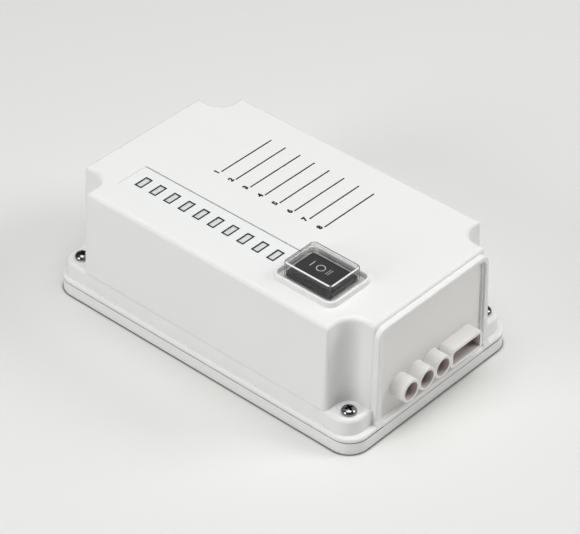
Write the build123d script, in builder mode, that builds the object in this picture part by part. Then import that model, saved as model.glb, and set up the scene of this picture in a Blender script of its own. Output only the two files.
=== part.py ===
from build123d import *

import os
from math import cos, floor, radians, sin, tan

os.makedirs("parts", exist_ok=True)

# Leak detection controller: a flat base tray, a tall drafted cover with a notch at each corner
# for its screw, a cable entry panel in the +X end, and a hooded rocker switch beside a row of
# indicator windows on top. Millimetres, +Z up, origin at the centre of the base's underside,
# +X along the long side towards the cable entries.

# Cuts run past the faces that they open by this much
overrun = 1.0
# Running clearance between pieces that are slipped together
clearance = 0.15
# Gap beside pieces that are dropped into place
loose_gap = 0.4

# Base tray
base_length = 200.0
base_width = 124.0
base_height = 7.3
corner_radius = 11.5
floor_thickness = 2.4
rim_width = 5.0
base_edge_radius = 0.6
joint_bevel = 0.2
joint_gap = 0.4
joint_gap_depth = 1.0

# Cover
cover_height = 60.1
case_wall = 2.4
roof_thickness = 2.4
draft_angle = 2.5
flange_thickness = 2.3
flange_edge_radius = 1.2
ledge_width = 2.1
end_ledge_width = 3.2
top_edge_radius = 2.5
upright_edge_radius = 2.8

# Corner notches and their screw platforms
screw_inset_x = 10.9
screw_inset_y = 10.3
notch_radius = 8.0
notch_draft = 2.0
platform_height = 11.2
platform_thickness = 3.0
platform_edge_radius = 2.2

# Cover screws and the posts that they bite into
screw_diameter = 3.9
screw_length = 12.0
screw_head_diameter = 8.0
screw_head_height = 2.9
screw_head_crown = 1.1
screw_recess_width = 1.1
screw_recess_length = 4.6
screw_recess_depth = 1.6
screw_tip_gap = 0.8
post_diameter = 9.0
thread_clearance = 0.05

# Wall fixing holes in the floor
wall_hole_diameter = 4.5
wall_hole_inset_x = 12.0
wall_hole_y = 16.0

# Arch collar round the cable entry panel
collar_proud = 2.1
collar_draft = 1.5
collar_drop = 2.1
collar_depth = 5.0
collar_corner_radius = 5.2
collar_step = 0.3
collar_edge_radius = 0.7
leg_width = 4.3
arch_width = 2.4

# Cable entry panel
panel_inset = 2.0
panel_thickness = 2.0
panel_lap = 0.9
panel_rim_width = 0.9
panel_rim_proud = 1.0
retaining_rib_depth = 1.6
retaining_rib_width = 2.2
sill_thickness = 2.3
sill_edge_radius = 1.0
entry_reach = 4.6
entry_height = 15.9
tube_diameter = 12.6
tube_bore = 9.5
tube_pitch = 12.1
tube_count = 3
tube_spigot = 1.2
port_length = 24.6
port_height = 11.4
port_wall = 1.8
port_corner_radius = 3.2
port_shoulder_radius = 5.0
mouth_edge_radius = 0.4
entry_merge = 0.4

# Seal between base and cover
gasket_width = 1.5
gasket_height = 1.0

# Raised rim round the switch, measured at the top face
switch_inset_x = 47.7
switch_inset_y = 31.2
rim_length = 39.0
rim_breadth = 31.6
rim_height = 3.0
rim_wall = 1.7
rim_draft = 4.0
rim_corner_radius = 5.2
rim_edge_radius = 0.6

# Label recess and film
recess_margin_x = 27.3
recess_depth = 0.4
recess_breadth = 20.8
recess_corner_radius = 0.8
recess_offset_y = 0.6
film_thickness = 0.25

# Indicator windows
window_pitch = 9.75
window_length = 8.1
window_width = 3.4
window_first = 9.1
window_offset_y = 0.7
strip_thickness = 1.2
strip_margin = 2.0
strip_recess = 0.1

# Rocker switch
bezel_gap = 0.2
bezel_thickness = 2.2
bezel_corner_radius = 1.6
bezel_edge_radius = 0.7
bezel_end_lap = 0.8
bezel_side_lap = 1.1
switch_end_wall = 0.8
switch_side_wall = 1.4
switch_depth = 22.0
switch_well_depth = 9.0
switch_snap_height = 5.0
switch_snap_reach = 0.9
switch_snap_width = 10.0
rocker_end_gap = 0.7
rocker_side_gap = 0.3
rocker_end_taper = 0.35
rocker_side_taper = 1.05
rocker_crown = 6.0
rocker_dish = 0.7
rocker_shoulder = 2.0
rocker_belly = 3.6
rocker_belly_length = 9.0
rocker_skirt = 1.2
pivot_drop = 0.5
trunnion_diameter = 2.6
trunnion_length = 0.9
trunnion_clearance = 0.05
terminal_width = 4.8
terminal_thickness = 0.8
terminal_length = 9.5
terminal_hole = 1.4
terminal_rows = 2
terminal_columns = 3
terminal_pitch_x = 7.6
terminal_pitch_y = 9.4

# Clear hood over the switch
hood_end_gap = 2.6
hood_side_gap = 2.7
hood_height = 9.2
hood_wall = 0.8
hood_corner_radius = 2.6
hood_top_radius = 1.1
hood_flange_thickness = 0.8

# Circuit boards
board_thickness = 1.6
board_corner_radius = 2.0
standoff_height = 6.0
standoff_diameter = 6.6
board_screw_diameter = 2.9
board_screw_length = 6.4
board_screw_head_diameter = 5.4
board_screw_head_height = 2.0
board_screw_crown = 0.8
board_screw_recess_width = 0.8
board_screw_recess_length = 3.2
board_screw_recess_depth = 1.0
board_end_margin = 22.0
board_side_gap = 3.0
cable_room = 18.0
board_back_margin = 16.0
board_bay_length = 43.9
board_battery_gap = 4.5
board_strap_gap = 4.0
board_hole_inset = 4.0
part_gap = 4.0
edge_gap = 1.0

# Indicator board under the roof
indicator_drop = 6.4
indicator_end_gap = 4.4
indicator_side_gap = 1.0
indicator_post_diameter = 6.0
led_diameter = 3.0
led_flange_diameter = 3.8
led_flange_height = 1.0
led_height = 4.6

# Backup battery
battery_width = 43.0
battery_roof_gap = 4.6
battery_edge_radius = 1.5
battery_end_gap = 2.2
battery_side_gap = 4.5
tab_width = 4.8
tab_thickness = 0.8
tab_height = 6.0
tab_inset_x = 7.0
tab_inset_y = 8.0
locating_rib_height = 6.0
locating_rib_thickness = 1.8
locating_rib_length = 24.0

# Battery strap
strap_width = 14.0
strap_thickness = 1.2
strap_foot = 12.0
strap_bend_radius = 2.0
strap_boss_diameter = 8.0
strap_boss_height = 5.5

# Power parts on the main board
transformer_side_gap = 9.5
transformer_height = 35.0
transformer_edge = 1.2
transformer_flange_height = 5.0
transformer_flange_step = 1.5
capacitor_diameter = 16.0
capacitor_height = 25.0
capacitor_edge_radius = 1.0
capacitor_groove = 0.6
capacitor_groove_height = 2.0
capacitor_count = 2
rectifier_length = 4.6
rectifier_width = 15.0
rectifier_height = 14.0
rectifier_lead = 3.0
rectifier_leads = 4
rectifier_lead_thickness = 0.8
sink_length = 24.0
sink_width = 16.0
sink_height = 26.0
sink_web = 2.2
sink_fin = 1.3
sink_fin_count = 6
regulator_width = 10.2
regulator_height = 15.6
regulator_thickness = 4.5
regulator_lead = 4.0
regulator_leads = 3
regulator_lead_pitch = 2.5
regulator_lead_width = 1.0
regulator_lead_thickness = 0.6
relay_length = 19.0
relay_width = 15.2
relay_height_share = 0.595
relay_edge = 0.8
relay_gap = 2.0
relay_count = 3

# Fuse and its clips
fuse_length = 20.0
fuse_diameter = 5.2
fuse_cap_length = 5.0
fuse_glass_diameter = 4.6
fuse_lift = 3.4
fuse_bay = 9.5
clip_length = 4.0
clip_thickness = 0.6

# Terminal blocks
pole_pitch = 5.0
block_depth = 10.0
block_height = 12.0
block_bevel = 2.0
block_well_diameter = 3.4
block_well_depth = 5.0
block_entry = 3.0
block_entry_depth = 4.0
block_entry_lift = 2.0
block_gap = 2.0
mains_poles = 3
valve_poles = 4
clamp_screw_diameter = 3.2
clamp_screw_height = 1.6
clamp_screw_slot = 0.6
clamp_screw_slot_depth = 0.7

# Signal parts
chip_size = 12.0
chip_height = 1.4
chip_bevel = 0.3
buzzer_diameter = 12.0
buzzer_height = 9.0
buzzer_hole = 2.0
buzzer_hole_depth = 1.5
header_length = 15.2
header_width = 5.4
header_height = 8.0
header_gap = 2.0
ribbon_width = 12.7
ribbon_thickness = 0.9
ribbon_rise = 20.0
plug_length = 9.5
plug_width = 6.0
plug_height = 7.0
lead_diameter = 1.8
lead_pitch = 3.0
lead_bend_radius = 2.5
lead_front_gap = 1.6
lead_drop = 4.5
lead_run_drop = 6.0

# Heights
joint_z = base_height
top_z = base_height + cover_height
roof_z = top_z - roof_thickness
platform_z = joint_z + platform_height
board_z = floor_thickness + standoff_height
board_top_z = board_z + board_thickness
battery_top_z = roof_z - battery_roof_gap - tab_height
battery_height = battery_top_z - floor_thickness
post_top_z = platform_z - platform_thickness - clearance

# Screw axes
screw_x = base_length / 2 - screw_inset_x
screw_y = base_width / 2 - screw_inset_y
screw_places = [(sx * screw_x, sy * screw_y) for sx in (-1, 1) for sy in (-1, 1)]

# Cover body at the joint plane, and its inside
body_length = base_length - ledge_width - end_ledge_width
body_x = (ledge_width - end_ledge_width) / 2
body_width = base_width - 2 * ledge_width
body_radius = corner_radius - ledge_width
hollow_length = body_length - 2 * case_wall
hollow_width = body_width - 2 * case_wall
hollow_radius = body_radius - case_wall
tray_length = base_length - 2 * rim_width
tray_width = base_width - 2 * rim_width
tray_radius = corner_radius - rim_width


# How far a drafted wall leans in at a height above the joint plane
def lean(height):
    return tan(radians(draft_angle)) * (height - joint_z)


# Corner cutters: rounded squares whose inner corner is centred on the screw axis
def corner_cutters(radius, mode=Mode.ADD):
    side = 2 * (screw_inset_x + screw_inset_y) + radius
    reach = side / 2 - radius
    places = [
        (sx * (screw_x + reach), sy * (screw_y + reach))
        for sx in (-1, 1)
        for sy in (-1, 1)
    ]
    with Locations(*places):
        RectangleRounded(side, side, radius, mode=mode)


# Switch, label and windows on the top face
switch_x = base_length / 2 - switch_inset_x
switch_y = -base_width / 2 + switch_inset_y
rim_left = switch_x - rim_length / 2
recess_left = -base_length / 2 + recess_margin_x
recess_length = rim_left - recess_left
recess_x = recess_left + recess_length / 2
recess_y = switch_y - recess_offset_y
window_y = recess_y - window_offset_y
window_count = 1 + floor((recess_length - window_first - window_width) / window_pitch)
window_places = [
    (recess_left + window_first + i * window_pitch, window_y) for i in range(window_count)
]
hood_length = rim_length - 2 * (rim_wall + hood_end_gap)
hood_breadth = rim_breadth - 2 * (rim_wall + hood_side_gap)
bezel_length = hood_length - 2 * (hood_wall + bezel_gap)
bezel_breadth = hood_breadth - 2 * (hood_wall + bezel_gap)
switch_body_length = bezel_length - 2 * bezel_end_lap
switch_body_breadth = bezel_breadth - 2 * bezel_side_lap
switch_well_length = switch_body_length - 2 * switch_end_wall
switch_well_breadth = switch_body_breadth - 2 * switch_side_wall
rocker_length = switch_well_length - 2 * rocker_end_gap
rocker_breadth = switch_well_breadth - 2 * rocker_side_gap
rocker_face_length = rocker_length - 2 * rocker_end_taper
rocker_face_breadth = rocker_breadth - 2 * rocker_side_taper
opening_length = switch_body_length + 2 * clearance
opening_breadth = switch_body_breadth + 2 * clearance
rim_inner_length = rim_length - 2 * rim_wall
rim_inner_breadth = rim_breadth - 2 * rim_wall
rim_inner_radius = rim_corner_radius - rim_wall

# Cable end: the front of the collar is a plane that leans in as it rises
end_x = base_length / 2 - end_ledge_width + collar_proud
lean_axis = Vector(cos(radians(collar_draft)), 0, sin(radians(collar_draft)))
end_plane = Plane(origin=(end_x, 0, joint_z), x_dir=(0, 1, 0), z_dir=lean_axis)
slope = cos(radians(collar_draft))
collar_half = screw_y - notch_radius - collar_step
collar_rise = (cover_height - collar_drop) / slope
collar_narrowing = tan(radians(notch_draft)) * cover_height
lip_half = collar_half - leg_width
lip_rise = collar_rise - arch_width
panel_half = lip_half + panel_lap
panel_rise = lip_rise + panel_lap
mouth_x = base_length / 2 + entry_reach
entry_z = joint_z + entry_height
panel_back_x = end_x - (panel_inset + panel_thickness) / slope
panel_back_x = panel_back_x - tan(radians(collar_draft)) * entry_height
spigot_x = panel_back_x - tube_spigot
entry_span = tube_diameter + (tube_count - 1) * tube_pitch + port_length - entry_merge
tube_first_y = -entry_span / 2 + tube_diameter / 2
tube_places = [(tube_first_y + i * tube_pitch, entry_z) for i in range(tube_count)]
port_y = entry_span / 2 - port_length / 2

# Indicator board
window_span = (window_count - 1) * window_pitch
window_mid_x = recess_left + window_first + window_span / 2
strip_length = window_span + window_width + 2 * strip_margin
strip_breadth = window_length + 2 * strip_margin
indicator_length = window_span + 2 * (window_width + indicator_end_gap)
indicator_breadth = strip_breadth + 2 * (indicator_post_diameter + indicator_side_gap)
indicator_top_z = roof_z - indicator_drop
indicator_hole_x = indicator_length / 2 - indicator_post_diameter / 2
indicator_hole_y = indicator_breadth / 2 - indicator_post_diameter / 2
indicator_holes = [
    (window_mid_x + sx * indicator_hole_x, window_y + sy * indicator_hole_y)
    for sx in (-1, 1)
    for sy in (-1, 1)
]

# Switch heights
bezel_z = top_z + hood_flange_thickness
bezel_top_z = bezel_z + bezel_thickness
switch_bottom_z = top_z - switch_depth
blade_z = switch_bottom_z - terminal_length
pivot_z = top_z - pivot_drop
terminal_places = [
    (switch_x + (i - (terminal_columns - 1) / 2) * terminal_pitch_x,
     switch_y + (j - (terminal_rows - 1) / 2) * terminal_pitch_y)
    for i in range(terminal_columns)
    for j in range(terminal_rows)
]

# Battery, held between the notches of the -X end and the back wall, clear of the board's wide part
board_left = -base_length / 2 + board_end_margin
board_right = base_length / 2 - cable_room
board_step_x = board_right - board_bay_length
battery_left = -(screw_x - notch_radius - case_wall) + battery_end_gap
battery_right = board_step_x - board_strap_gap - strap_foot - strap_thickness - loose_gap
battery_length = battery_right - battery_left
battery_back = base_width / 2 - rim_width - battery_side_gap
battery_front = battery_back - battery_width
battery_x = (battery_left + battery_right) / 2
battery_y = (battery_front + battery_back) / 2
strap_foot_z = floor_thickness + strap_boss_height
strap_left = battery_left - loose_gap
strap_right = battery_right + loose_gap
strap_screw_places = [
    (strap_left - strap_thickness - strap_foot / 2, battery_y),
    (strap_right + strap_thickness + strap_foot / 2, battery_y),
]

# Main board, an L round the battery
board_front = -base_width / 2 + rim_width + board_side_gap
board_mid_y = battery_front - board_battery_gap
board_back = base_width / 2 - board_back_margin
board_holes = [
    (board_left + board_hole_inset, board_front + board_hole_inset),
    (board_left + board_hole_inset, board_mid_y - board_hole_inset),
    ((board_left + board_right) / 2, board_front + board_hole_inset),
    (board_right - board_hole_inset, board_front + board_hole_inset),
    (board_right - board_hole_inset, board_back - board_hole_inset),
    (board_step_x + board_hole_inset, board_back - board_hole_inset),
]
front_row_y = (board_front + board_mid_y) / 2
block_front_x = board_right - edge_gap
block_x = block_front_x - block_depth / 2
relay_x = block_front_x - block_depth - fuse_bay - relay_length / 2
relay_height = (blade_z - board_top_z) * relay_height_share
header_x = relay_x - relay_length / 2 - header_gap - header_width / 2
sink_left = header_x - header_width / 2 - header_gap - sink_width
rectifier_x = sink_left - regulator_thickness - part_gap - rectifier_length / 2
capacitor_x = rectifier_x - rectifier_length / 2 - part_gap - capacitor_diameter / 2
capacitor_places = [
    (capacitor_x, front_row_y + (i - (capacitor_count - 1) / 2) * (capacitor_diameter + part_gap))
    for i in range(capacitor_count)
]
transformer_left = board_left + 2 * board_hole_inset
transformer_right = capacitor_x - capacitor_diameter / 2 - part_gap
transformer_x = (transformer_left + transformer_right) / 2
transformer_length = transformer_right - transformer_left
transformer_width = board_mid_y - board_front - 2 * transformer_side_gap
relay_places = [
    (relay_x, board_front + 2 * board_hole_inset + relay_width / 2 + i * (relay_width + relay_gap))
    for i in range(relay_count)
]
block_top_z = board_top_z + block_height
mains_y = notch_radius + case_wall - screw_y
valve_y = mains_y + mains_poles * pole_pitch + block_gap
sensor_y = valve_y + valve_poles * pole_pitch + block_gap
sensor_poles = floor((board_back - 2 * board_hole_inset - sensor_y) / pole_pitch)
fuse_x = block_front_x - block_depth - fuse_bay / 2
fuse_y = mains_y + fuse_length / 2
fuse_z = board_top_z + fuse_lift
chip_x = relay_x + relay_length / 2 - chip_size / 2
chip_y = relay_places[-1][1] + relay_width / 2 + part_gap + chip_size / 2
buzzer_x = chip_x
buzzer_y = chip_y + chip_size / 2 + part_gap + buzzer_diameter / 2
tab_z = battery_top_z + tab_height / 2
tab_places = [
    (battery_left + tab_inset_x, battery_front + tab_inset_y),
    (battery_right - tab_inset_x, battery_front + tab_inset_y),
]
plug_top_z = board_top_z + plug_height
battery_plug_x = battery_right - tab_inset_x
battery_plug_y = board_mid_y - edge_gap - plug_width / 2
switch_plug_y = fuse_y + fuse_length / 2 + part_gap + plug_length / 2
indicator_right = window_mid_x + indicator_length / 2
upper_header_x = indicator_right - indicator_post_diameter - edge_gap - header_width / 2
wall_holes = [
    (sx * (base_length / 2 - wall_hole_inset_x), sy * wall_hole_y)
    for sx in (-1, 1)
    for sy in (-1, 1)
]


# Pan head screws: heads on the seat, shanks through it; facing is 1 for heads on top, -1 for
# heads below
def pan_screws(screws, places, seat_z, facing, shank, length, head, height, crown, slot, slot_length,
               depth):
    near, far = (Align.MIN, Align.MAX) if facing > 0 else (Align.MAX, Align.MIN)
    with Locations(*[(x, y, seat_z) for x, y in places]):
        Cylinder(head / 2, height, align=(Align.CENTER, Align.CENTER, near))
    fillet(screws.edges().group_by(Axis.Z)[-1 if facing > 0 else 0], crown)
    with Locations(*[(x, y, seat_z) for x, y in places]):
        Cylinder(shank / 2, length, align=(Align.CENTER, Align.CENTER, far))
    with Locations(*[(x, y, seat_z + facing * height) for x, y in places]):
        Box(slot, slot_length, 2 * depth, mode=Mode.SUBTRACT)
        Box(slot_length, slot, 2 * depth, mode=Mode.SUBTRACT)


# An arch with a straight foot well below the joint plane and two rounded shoulders
def arch(half_foot, half_top, rise, radius):
    with BuildLine() as outline:
        Polyline(
            (-half_foot, -rim_width),
            (-half_top, rise),
            (half_top, rise),
            (half_foot, -rim_width),
            close=True,
        )
    face = make_face(outline.edges())
    fillet(face.vertices().group_by(Axis.Y)[-1], radius)


# Outline of the flat port, drawn in by a margin
def port_outline(margin):
    with Locations((port_y, entry_z)):
        box = Rectangle(port_length - 2 * margin, port_height - 2 * margin)
    corners = box.vertices().sort_by(Axis.Z)
    shoulder = corners[-2:].sort_by(Axis.Y)[0]
    others = [v for v in corners if v is not shoulder]
    fillet(others, port_corner_radius - margin)
    fillet(shoulder, port_shoulder_radius - margin)


# Ring of the seal, along the middle of the rim
def seal_ring():
    inset = (rim_width - gasket_width) / 2
    RectangleRounded(base_length - 2 * inset, base_width - 2 * inset, corner_radius - inset)
    inset = inset + gasket_width
    RectangleRounded(
        base_length - 2 * inset, base_width - 2 * inset, corner_radius - inset, mode=Mode.SUBTRACT
    )


# Inside of the cover, a solid that is taken out of it
with BuildPart() as hollow:
    with BuildSketch(Plane.XY.offset(joint_z)):
        with Locations((body_x, 0)):
            RectangleRounded(hollow_length, hollow_width, hollow_radius)
    extrude(amount=roof_z - joint_z, taper=draft_angle)
    with BuildSketch(Plane.XY.offset(platform_z - platform_thickness)):
        corner_cutters(notch_radius + case_wall)
    extrude(amount=cover_height, taper=-notch_draft, mode=Mode.SUBTRACT)

# Arch collar, a solid that is added to the cover's end
with BuildPart() as collar:
    with BuildSketch(end_plane):
        arch(collar_half, collar_half - collar_narrowing, collar_rise, collar_corner_radius)
    extrude(amount=-collar_depth)
    with BuildSketch(end_plane):
        arch(lip_half, lip_half, lip_rise, collar_corner_radius - panel_lap)
    extrude(amount=-collar_depth, mode=Mode.SUBTRACT)
    fillet(
        collar.faces().sort_by(Axis(end_plane.origin, lean_axis))[-1].edges().filter_by(
            lambda e: e.center().Z > joint_z
        ),
        collar_edge_radius,
    )

# Cover
with BuildPart() as cover:
    # Foot, up to the screw platforms
    with BuildSketch(Plane.XY.offset(joint_z)):
        with Locations((body_x, 0)):
            RectangleRounded(body_length, body_width, body_radius)
    extrude(amount=platform_height, taper=draft_angle)
    fillet(cover.faces().sort_by(Axis.Z)[-1].edges(), platform_edge_radius)
    # Body between the corner notches
    with BuildSketch(Plane.XY.offset(platform_z)) as body_plan:
        with Locations((body_x, 0)):
            RectangleRounded(
                body_length - 2 * lean(platform_z),
                body_width - 2 * lean(platform_z),
                body_radius - lean(platform_z),
            )
        corner_cutters(notch_radius, Mode.SUBTRACT)
        ends = [
            v
            for v in body_plan.vertices()
            if abs(v.X) > screw_x + notch_radius / 2 or abs(v.Y) > screw_y + notch_radius / 2
        ]
        fillet(ends, upright_edge_radius)
    extrude(amount=top_z - platform_z, taper=draft_angle)
    fillet(cover.faces().sort_by(Axis.Z)[-1].edges(), top_edge_radius)
    # Flange that seats on the base
    with BuildSketch(Plane.XY.offset(joint_z)):
        RectangleRounded(base_length, base_width, corner_radius)
    extrude(amount=flange_thickness)
    chamfer(cover.faces().sort_by(Axis.Z)[0].edges(), joint_bevel)
    fillet(
        cover.faces().filter_by(Axis.Z).group_by(Axis.Z)[1].edges().filter_by(
            lambda e: abs(e.center().X - body_x) > body_length / 2 or abs(e.center().Y) > body_width / 2
        ),
        flange_edge_radius,
    )
    # The flange is left out between the legs of the collar
    with BuildSketch(Plane.XY.offset(joint_z - overrun)):
        with Locations((end_x, 0)):
            Rectangle(2 * collar_proud + 2 * overrun, 2 * collar_half)
    extrude(amount=flange_thickness + overrun, mode=Mode.SUBTRACT)
    add(collar.part)
    # Raised rim round the switch
    with BuildSketch(Plane.XY.offset(top_z)):
        with Locations((switch_x, switch_y)):
            RectangleRounded(rim_length, rim_breadth, rim_corner_radius)
    extrude(amount=rim_height, taper=rim_draft)
    with BuildSketch(Plane.XY.offset(top_z)):
        with Locations((switch_x, switch_y)):
            RectangleRounded(rim_inner_length, rim_inner_breadth, rim_inner_radius)
    extrude(amount=rim_height, mode=Mode.SUBTRACT)
    fillet(cover.faces().sort_by(Axis.Z)[-1].edges(), rim_edge_radius)
    # Inside
    add(hollow.part, mode=Mode.SUBTRACT)
    # Seat of the cable entry panel and the opening in front of it
    with BuildSketch(end_plane.offset(-panel_inset)):
        arch(panel_half + clearance, panel_half + clearance, panel_rise + clearance, collar_corner_radius)
    extrude(amount=-collar_depth, mode=Mode.SUBTRACT)
    with BuildSketch(end_plane.offset(overrun)):
        arch(lip_half, lip_half, lip_rise, collar_corner_radius - panel_lap)
    extrude(amount=-collar_depth, mode=Mode.SUBTRACT)
    # Ribs that hold the panel against the lip
    with BuildSketch(end_plane.offset(-panel_inset - panel_thickness - clearance)):
        with Locations(*[(s * panel_half, lip_rise / 2) for s in (-1, 1)]):
            Rectangle(2 * retaining_rib_width, lip_rise - 2 * platform_height)
    extrude(amount=-retaining_rib_depth)
    # Posts that carry the indicator board
    with BuildSketch(Plane.XY.offset(indicator_top_z)):
        with Locations(*indicator_holes):
            Circle(indicator_post_diameter / 2)
    extrude(amount=indicator_drop)
    with BuildSketch(Plane.XY.offset(indicator_top_z)):
        with Locations(*indicator_holes):
            Circle(board_screw_diameter / 2 + thread_clearance)
    extrude(amount=board_screw_length - board_thickness + screw_tip_gap, mode=Mode.SUBTRACT)
    # Label recess, indicator slots, switch opening and screw holes
    with BuildSketch(Plane.XY.offset(top_z - recess_depth)):
        with Locations((recess_x, recess_y)):
            RectangleRounded(recess_length, recess_breadth, recess_corner_radius)
    extrude(amount=recess_depth, mode=Mode.SUBTRACT)
    with BuildSketch(Plane.XY.offset(roof_z)):
        with Locations(*window_places):
            Rectangle(window_width, window_length)
        with Locations((switch_x, switch_y)):
            Rectangle(opening_length, opening_breadth)
    extrude(amount=roof_thickness, mode=Mode.SUBTRACT)
    with BuildSketch(Plane.XY.offset(platform_z)):
        with Locations(*screw_places):
            Circle(screw_diameter / 2 + clearance)
    extrude(amount=-platform_thickness, mode=Mode.SUBTRACT)
    # Everything below the joint plane goes
    with BuildSketch(Plane.XY.offset(joint_z)):
        Rectangle(2 * base_length, 2 * base_width)
    extrude(amount=-base_height, mode=Mode.SUBTRACT)

cover.part.label = "cover"
export_step(cover.part, "parts/cover.step")


# Base tray with the posts, standoffs and locating ribs inside
with BuildPart() as base:
    with BuildSketch():
        RectangleRounded(base_length, base_width, corner_radius)
    extrude(amount=base_height)
    fillet(base.faces().sort_by(Axis.Z)[0].edges(), base_edge_radius)
    with BuildSketch(Plane.XY.offset(joint_z)):
        Rectangle(2 * base_length, 2 * base_width)
        RectangleRounded(
            base_length - 2 * joint_gap_depth, base_width - 2 * joint_gap_depth,
            corner_radius - joint_gap_depth, mode=Mode.SUBTRACT,
        )
    extrude(amount=-joint_gap, mode=Mode.SUBTRACT)
    with BuildSketch(Plane.XY.offset(floor_thickness)):
        RectangleRounded(tray_length, tray_width, tray_radius)
    extrude(amount=base_height, mode=Mode.SUBTRACT)
    with BuildSketch(Plane.XY.offset(floor_thickness)):
        with Locations(*screw_places):
            Circle(post_diameter / 2)
    extrude(amount=post_top_z - floor_thickness)
    with BuildSketch(Plane.XY.offset(floor_thickness)):
        with Locations(*board_holes):
            Circle(standoff_diameter / 2)
    extrude(amount=standoff_height)
    with BuildSketch(Plane.XY.offset(floor_thickness)):
        with Locations(*strap_screw_places):
            Circle(strap_boss_diameter / 2)
    extrude(amount=strap_boss_height)
    # Ribs round the foot of the battery
    with BuildSketch(Plane.XY.offset(floor_thickness)):
        rib_y = battery_width / 2 + loose_gap + locating_rib_thickness / 2
        rib_x = battery_length / 2 - locating_rib_length / 2
        with Locations(
            *[(battery_x + sx * rib_x, battery_y + sy * rib_y) for sx in (-1, 1) for sy in (-1, 1)]
        ):
            Rectangle(locating_rib_length, locating_rib_thickness)
    extrude(amount=locating_rib_height)
    # Seal groove, screw holes and wall fixing holes
    with BuildSketch(Plane.XY.offset(joint_z)):
        seal_ring()
    extrude(amount=-gasket_height, mode=Mode.SUBTRACT)
    with BuildSketch(Plane.XY.offset(post_top_z)):
        with Locations(*screw_places):
            Circle(screw_diameter / 2 + thread_clearance)
    extrude(amount=-(post_top_z - platform_z + screw_length + screw_tip_gap), mode=Mode.SUBTRACT)
    with BuildSketch(Plane.XY.offset(board_z)):
        with Locations(*board_holes):
            Circle(board_screw_diameter / 2 + thread_clearance)
    extrude(amount=-(board_screw_length - board_thickness + screw_tip_gap), mode=Mode.SUBTRACT)
    with BuildSketch(Plane.XY.offset(strap_foot_z)):
        with Locations(*strap_screw_places):
            Circle(board_screw_diameter / 2 + thread_clearance)
    extrude(amount=-(board_screw_length - strap_thickness + screw_tip_gap), mode=Mode.SUBTRACT)
    with BuildSketch():
        with Locations(*wall_holes):
            Circle(wall_hole_diameter / 2)
    extrude(amount=floor_thickness, mode=Mode.SUBTRACT)

base.part.label = "base"
export_step(base.part, "parts/base.step")

# Seal cord in the groove of the base
with BuildPart() as base_gasket:
    with BuildSketch(Plane.XY.offset(joint_z)):
        seal_ring()
    extrude(amount=-gasket_height)

base_gasket.part.label = "base_gasket"
export_step(base_gasket.part, "parts/base_gasket.step")

# Cover screws
with BuildPart() as cover_screws:
    pan_screws(
        cover_screws, screw_places, platform_z, 1, screw_diameter, screw_length, screw_head_diameter,
        screw_head_height, screw_head_crown, screw_recess_width, screw_recess_length,
        screw_recess_depth,
    )

cover_screws.part.label = "cover_screws"
export_step(cover_screws.part, "parts/cover_screws.step")

# Cable entry panel: plate, sill, three round cable sleeves and one flat port in one moulding
with BuildPart() as end_panel:
    with BuildSketch(end_plane.offset(-panel_inset)):
        arch(panel_half, panel_half, panel_rise, collar_corner_radius)
    extrude(amount=-panel_thickness)
    # Raised border that shows as a fine line inside the collar
    rim_half = lip_half - clearance
    rim_rise = lip_rise - clearance
    rim_radius = collar_corner_radius - panel_lap - clearance
    with BuildSketch(end_plane.offset(-panel_inset)):
        arch(rim_half, rim_half, rim_rise, rim_radius)
    extrude(amount=panel_rim_proud)
    with BuildSketch(end_plane.offset(-panel_inset)):
        arch(rim_half - panel_rim_width, rim_half - panel_rim_width, rim_rise - panel_rim_width,
             rim_radius - panel_rim_width)
    extrude(amount=panel_rim_proud, mode=Mode.SUBTRACT)
    sill_back = end_x - panel_inset - panel_thickness / 2
    with BuildSketch(Plane.XY.offset(joint_z)):
        with Locations(((sill_back + base_length / 2) / 2, 0)):
            Rectangle(base_length / 2 - sill_back, 2 * (lip_half - clearance))
    extrude(amount=sill_thickness)
    fillet(
        end_panel.edges().filter_by(Axis.Y).filter_by(lambda e: e.center().Z > joint_z).sort_by(Axis.X)[-1],
        sill_edge_radius,
    )
    with BuildSketch(Plane.YZ.offset(spigot_x)):
        with Locations(*tube_places):
            Circle(tube_diameter / 2)
    extrude(amount=mouth_x - spigot_x)
    with BuildSketch(Plane.YZ.offset(spigot_x)):
        port_outline(0)
    extrude(amount=mouth_x - spigot_x)
    fillet(end_panel.faces().sort_by(Axis.X)[-1].edges(), mouth_edge_radius)
    with BuildSketch(Plane.YZ.offset(spigot_x)):
        with Locations(*tube_places):
            Circle(tube_bore / 2)
        port_outline(port_wall)
    extrude(amount=mouth_x - spigot_x, mode=Mode.SUBTRACT)
    with BuildSketch(Plane.XY.offset(joint_z)):
        Rectangle(2 * base_length, 2 * base_width)
    extrude(amount=-base_height, mode=Mode.SUBTRACT)

end_panel.part.label = "end_panel"
export_step(end_panel.part, "parts/end_panel.step")

# Label film in its recess, cut out over the windows
with BuildPart() as label_film:
    with BuildSketch(Plane.XY.offset(top_z - recess_depth)):
        with Locations((recess_x, recess_y)):
            RectangleRounded(
                recess_length - 2 * clearance, recess_breadth - 2 * clearance, recess_corner_radius
            )
        with Locations(*window_places):
            Rectangle(window_width, window_length, mode=Mode.SUBTRACT)
    extrude(amount=film_thickness)

label_film.part.label = "label_film"
export_step(label_film.part, "parts/label_film.step")

# Light guides: a strip under the roof with one bar up through each window
with BuildPart() as light_guides:
    with BuildSketch(Plane.XY.offset(roof_z)):
        with Locations((window_mid_x, window_y)):
            Rectangle(strip_length, strip_breadth)
    extrude(amount=-strip_thickness)
    with BuildSketch(Plane.XY.offset(roof_z)):
        with Locations(*window_places):
            Rectangle(window_width - 2 * clearance, window_length - 2 * clearance)
    extrude(amount=roof_thickness - recess_depth + film_thickness - strip_recess)

light_guides.part.label = "light_guides"
export_step(light_guides.part, "parts/light_guides.step")

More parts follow.
